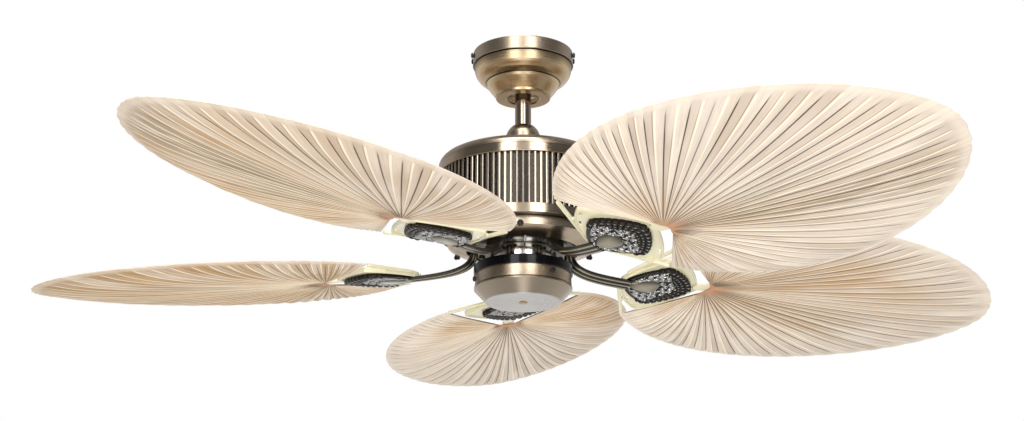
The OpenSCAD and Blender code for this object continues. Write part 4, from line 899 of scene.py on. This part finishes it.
def blade_frame(root):
    """The moulded frame: a slotted plate, a raised rim, struts to the leaf's corners, a tongue."""
    slots, struts = [], []
    corner = leaf_edge(np.radians(LEAF_PHASE), 0)
    for side in (-1, 1):
        for degrees, heading, length in SLOTS:
            a = math.radians(side * heading)
            q = frame_point(SLOT_INSET, side * degrees)
            d = np.array([math.cos(a), math.sin(a)]) * length / 2
            slots.append(rounded_bar(q - d, q + d, SLOT_W))
        start = np.array([FRAME_MID - FRAME_A[0] + 3, side * 15.0])
        tip = np.array([corner[0] + 0.5, side * (corner[1] - 4)])
        struts.append(rounded_bar(start, tip, STRUT_W))
        struts.append(rounded_bar(frame_point(3, side * 114), (start + tip) / 2, STRUT_W))
    neck = np.array([FRAME_MID + FRAME_A[1] - 10, root[1] / 2])
    end = np.array([root[0] + TONGUE_PAST, root[1]])
    return join_shells(
        plate([frame_line(0.2)] + slots, PLATE_LOW, PLATE_HIGH, 0.5),
        plate([frame_line(0.0), frame_line(LIP_W)], LIP_LOW, LIP_HIGH, 1.1),
        *[plate([strut], STRUT_LOW, STRUT_HIGH, 1.0) for strut in struts],
        plate([rounded_bar(neck, end, TONGUE_W, 9)], TONGUE_LOW, TONGUE_HIGH, 0.8))


for i in BLADES:
    v, f = blade_frame(LEAF_ROOT[i])
    obj = new_piece(f"frame_{i + 1}", v, f, blade_matrix(i), 35)
    obj.data.materials.append(M["cream_plastic"])
    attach(obj, "rotor")
    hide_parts(f"blade_frame_{i + 1}")


# ---------------------------------------------------------------- floor, light and camera
# The floor glows like a lit studio sweep: a little in front, and more behind the fan
FLOOR_SIZE, FLOOR_Z, FLOOR_COLOR = 120.0, -10.0, (0.58, 0.58, 0.57)
FLOOR_GLOW = (0.24, 0.70)
GLOW_FROM, GLOW_TO = -12.0, 10.0


def stage_plane(name, size, z, color):
    mesh = bpy.data.meshes.new(name)
    h = size / 2
    mesh.from_pydata([(-h, -h, z), (h, -h, z), (h, h, z), (-h, h, z)], [], [(0, 1, 2, 3)])
    obj = add_object(name, mesh)
    s = Shader(name)
    n = s.noise(s.place(), 0.6, 2.0)
    s.finish(s.mix(n, shade(color, 0.97), color), 0.0, 0.9)
    back = s.step(s.split(s.place())[1], GLOW_FROM, GLOW_TO)
    glow = s.math("MULTIPLY_ADD", back, FLOOR_GLOW[1] - FLOOR_GLOW[0], FLOOR_GLOW[0])
    s.put(s.bsdf.inputs["Emission Color"], (1.0, 0.99, 0.97))
    s.put(s.bsdf.inputs["Emission Strength"], glow)
    mesh.materials.append(s.mat)


stage_plane("floor", FLOOR_SIZE, FLOOR_Z, FLOOR_COLOR)


def softbox(name, place, target, width, height, radiance):
    light = bpy.data.lights.new(name, "AREA")
    light.shape = "RECTANGLE"
    light.size, light.size_y = width, height
    light.energy = radiance * math.pi * width * height
    obj = add_object(name, light)
    obj.location = place
    obj.rotation_euler = (Vector(target) - Vector(place)).to_track_quat("-Z", "Y").to_euler()
    obj.visible_camera = False


# Tall lights: one to each side of the camera and a faint one between them, whose reflections are
# the bright lines down the turned metal
TALL, TALL_Z = 7.4, 0.4
KEY_AZIMUTH, KEY_AWAY = 19.2, 3.0
for side in (-1, 1):
    a = math.radians(KEY_AZIMUTH * side)
    place = (KEY_AWAY * math.sin(a), -KEY_AWAY * math.cos(a), TALL_Z)
    softbox(f"key_{side}", place, (0, 0, TALL_Z), 1.0, TALL, 4.9)
softbox("overhead", (-0.2, -1.5, 2.6), (0, 0, 0), 2.3, 1.2, 3.5)
softbox("centre", (0.0, -3.1, TALL_Z), (0, 0, TALL_Z), 0.9, TALL, 0.75)
softbox("low", (0.0, -1.8, -3.5), (0, 0, -0.33), 0.95, 4.0, 1.5)

# The room that the metal reflects: a bright sweep behind the fan and a dim room in front, each with
# its grey by height, from 0 straight down to 1 straight up. The ends of the ramp come first.
BEHIND = [(0.0, 0.9), (1.0, 0.45), (0.50, 1.1), (0.56, 0.95), (0.62, 0.55), (0.70, 0.45)]
BEFORE = [(0.0, 0.5), (1.0, 0.25), (0.44, 0.40), (0.52, 0.20), (0.75, 0.15)]

world = bpy.data.worlds.new("studio")
bpy.context.scene.world = world
world.use_nodes = True
room = Nodes(world.node_tree)
_, back, upward = room.split(room.add("ShaderNodeTexCoord").outputs["Generated"])
elevation = room.math("MULTIPLY_ADD", upward, 0.5, 0.5)


def grey_ramp(stops):
    ramp = room.add("ShaderNodeValToRGB")
    ramp.color_ramp.interpolation = "EASE"
    for n, (place, value) in enumerate(stops):
        e = ramp.color_ramp.elements[n] if n < 2 else ramp.color_ramp.elements.new(place)
        e.position, e.color = place, (value, value, value, 1)
    room.put(ramp.inputs[0], elevation)
    return ramp.outputs[0]


reflected = world.node_tree.nodes["Background"]
room.put(reflected.inputs["Color"],
         room.mix(room.step(back, -0.25, 0.45), grey_ramp(BEFORE), grey_ramp(BEHIND)))
reflected.inputs["Strength"].default_value = 1.0
white = room.add("ShaderNodeBackground")
white.inputs["Color"].default_value = (1, 1, 1, 1)
white.inputs["Strength"].default_value = 1.0
choose = room.add("ShaderNodeMixShader")
room.put(choose.inputs[0], room.add("ShaderNodeLightPath").outputs["Is Camera Ray"])
room.put(choose.inputs[1], reflected.outputs[0])
room.put(choose.inputs[2], white.outputs[0])
room.put(world.node_tree.nodes["World Output"].inputs[0], choose.outputs[0])

view_settings = bpy.context.scene.view_settings
view_settings.view_transform = "Standard"
view_settings.look = "None"

# The camera that was fitted to the photograph. Its focal length, its optical centre and the
# picture's size are in pixels.
PHOTO_W, PHOTO_H = 1024, 421
FOCAL, OPTICAL_X, OPTICAL_Y = 1905.366, 506.368, 209.812
SENSOR_W = 36.0
cam = bpy.data.cameras.new("camera")
cam.sensor_width = SENSOR_W
cam.lens = SENSOR_W * FOCAL / PHOTO_W
cam.shift_x = (PHOTO_W / 2 - OPTICAL_X) / PHOTO_W
cam.shift_y = (OPTICAL_Y - PHOTO_H / 2) / PHOTO_W
cam.clip_end = 200.0
camera = add_object("camera", cam)
right = Vector((0.99996091, 0.00862566, 0.00194421))
forward = Vector((-0.00880701, 0.95206201, 0.30577829))
facing = Matrix((right, right.cross(forward), -forward)).transposed().to_4x4()
camera.matrix_world = Matrix.Translation((0, -2.3682108, -0.97987)) @ facing
bpy.context.scene.camera = camera
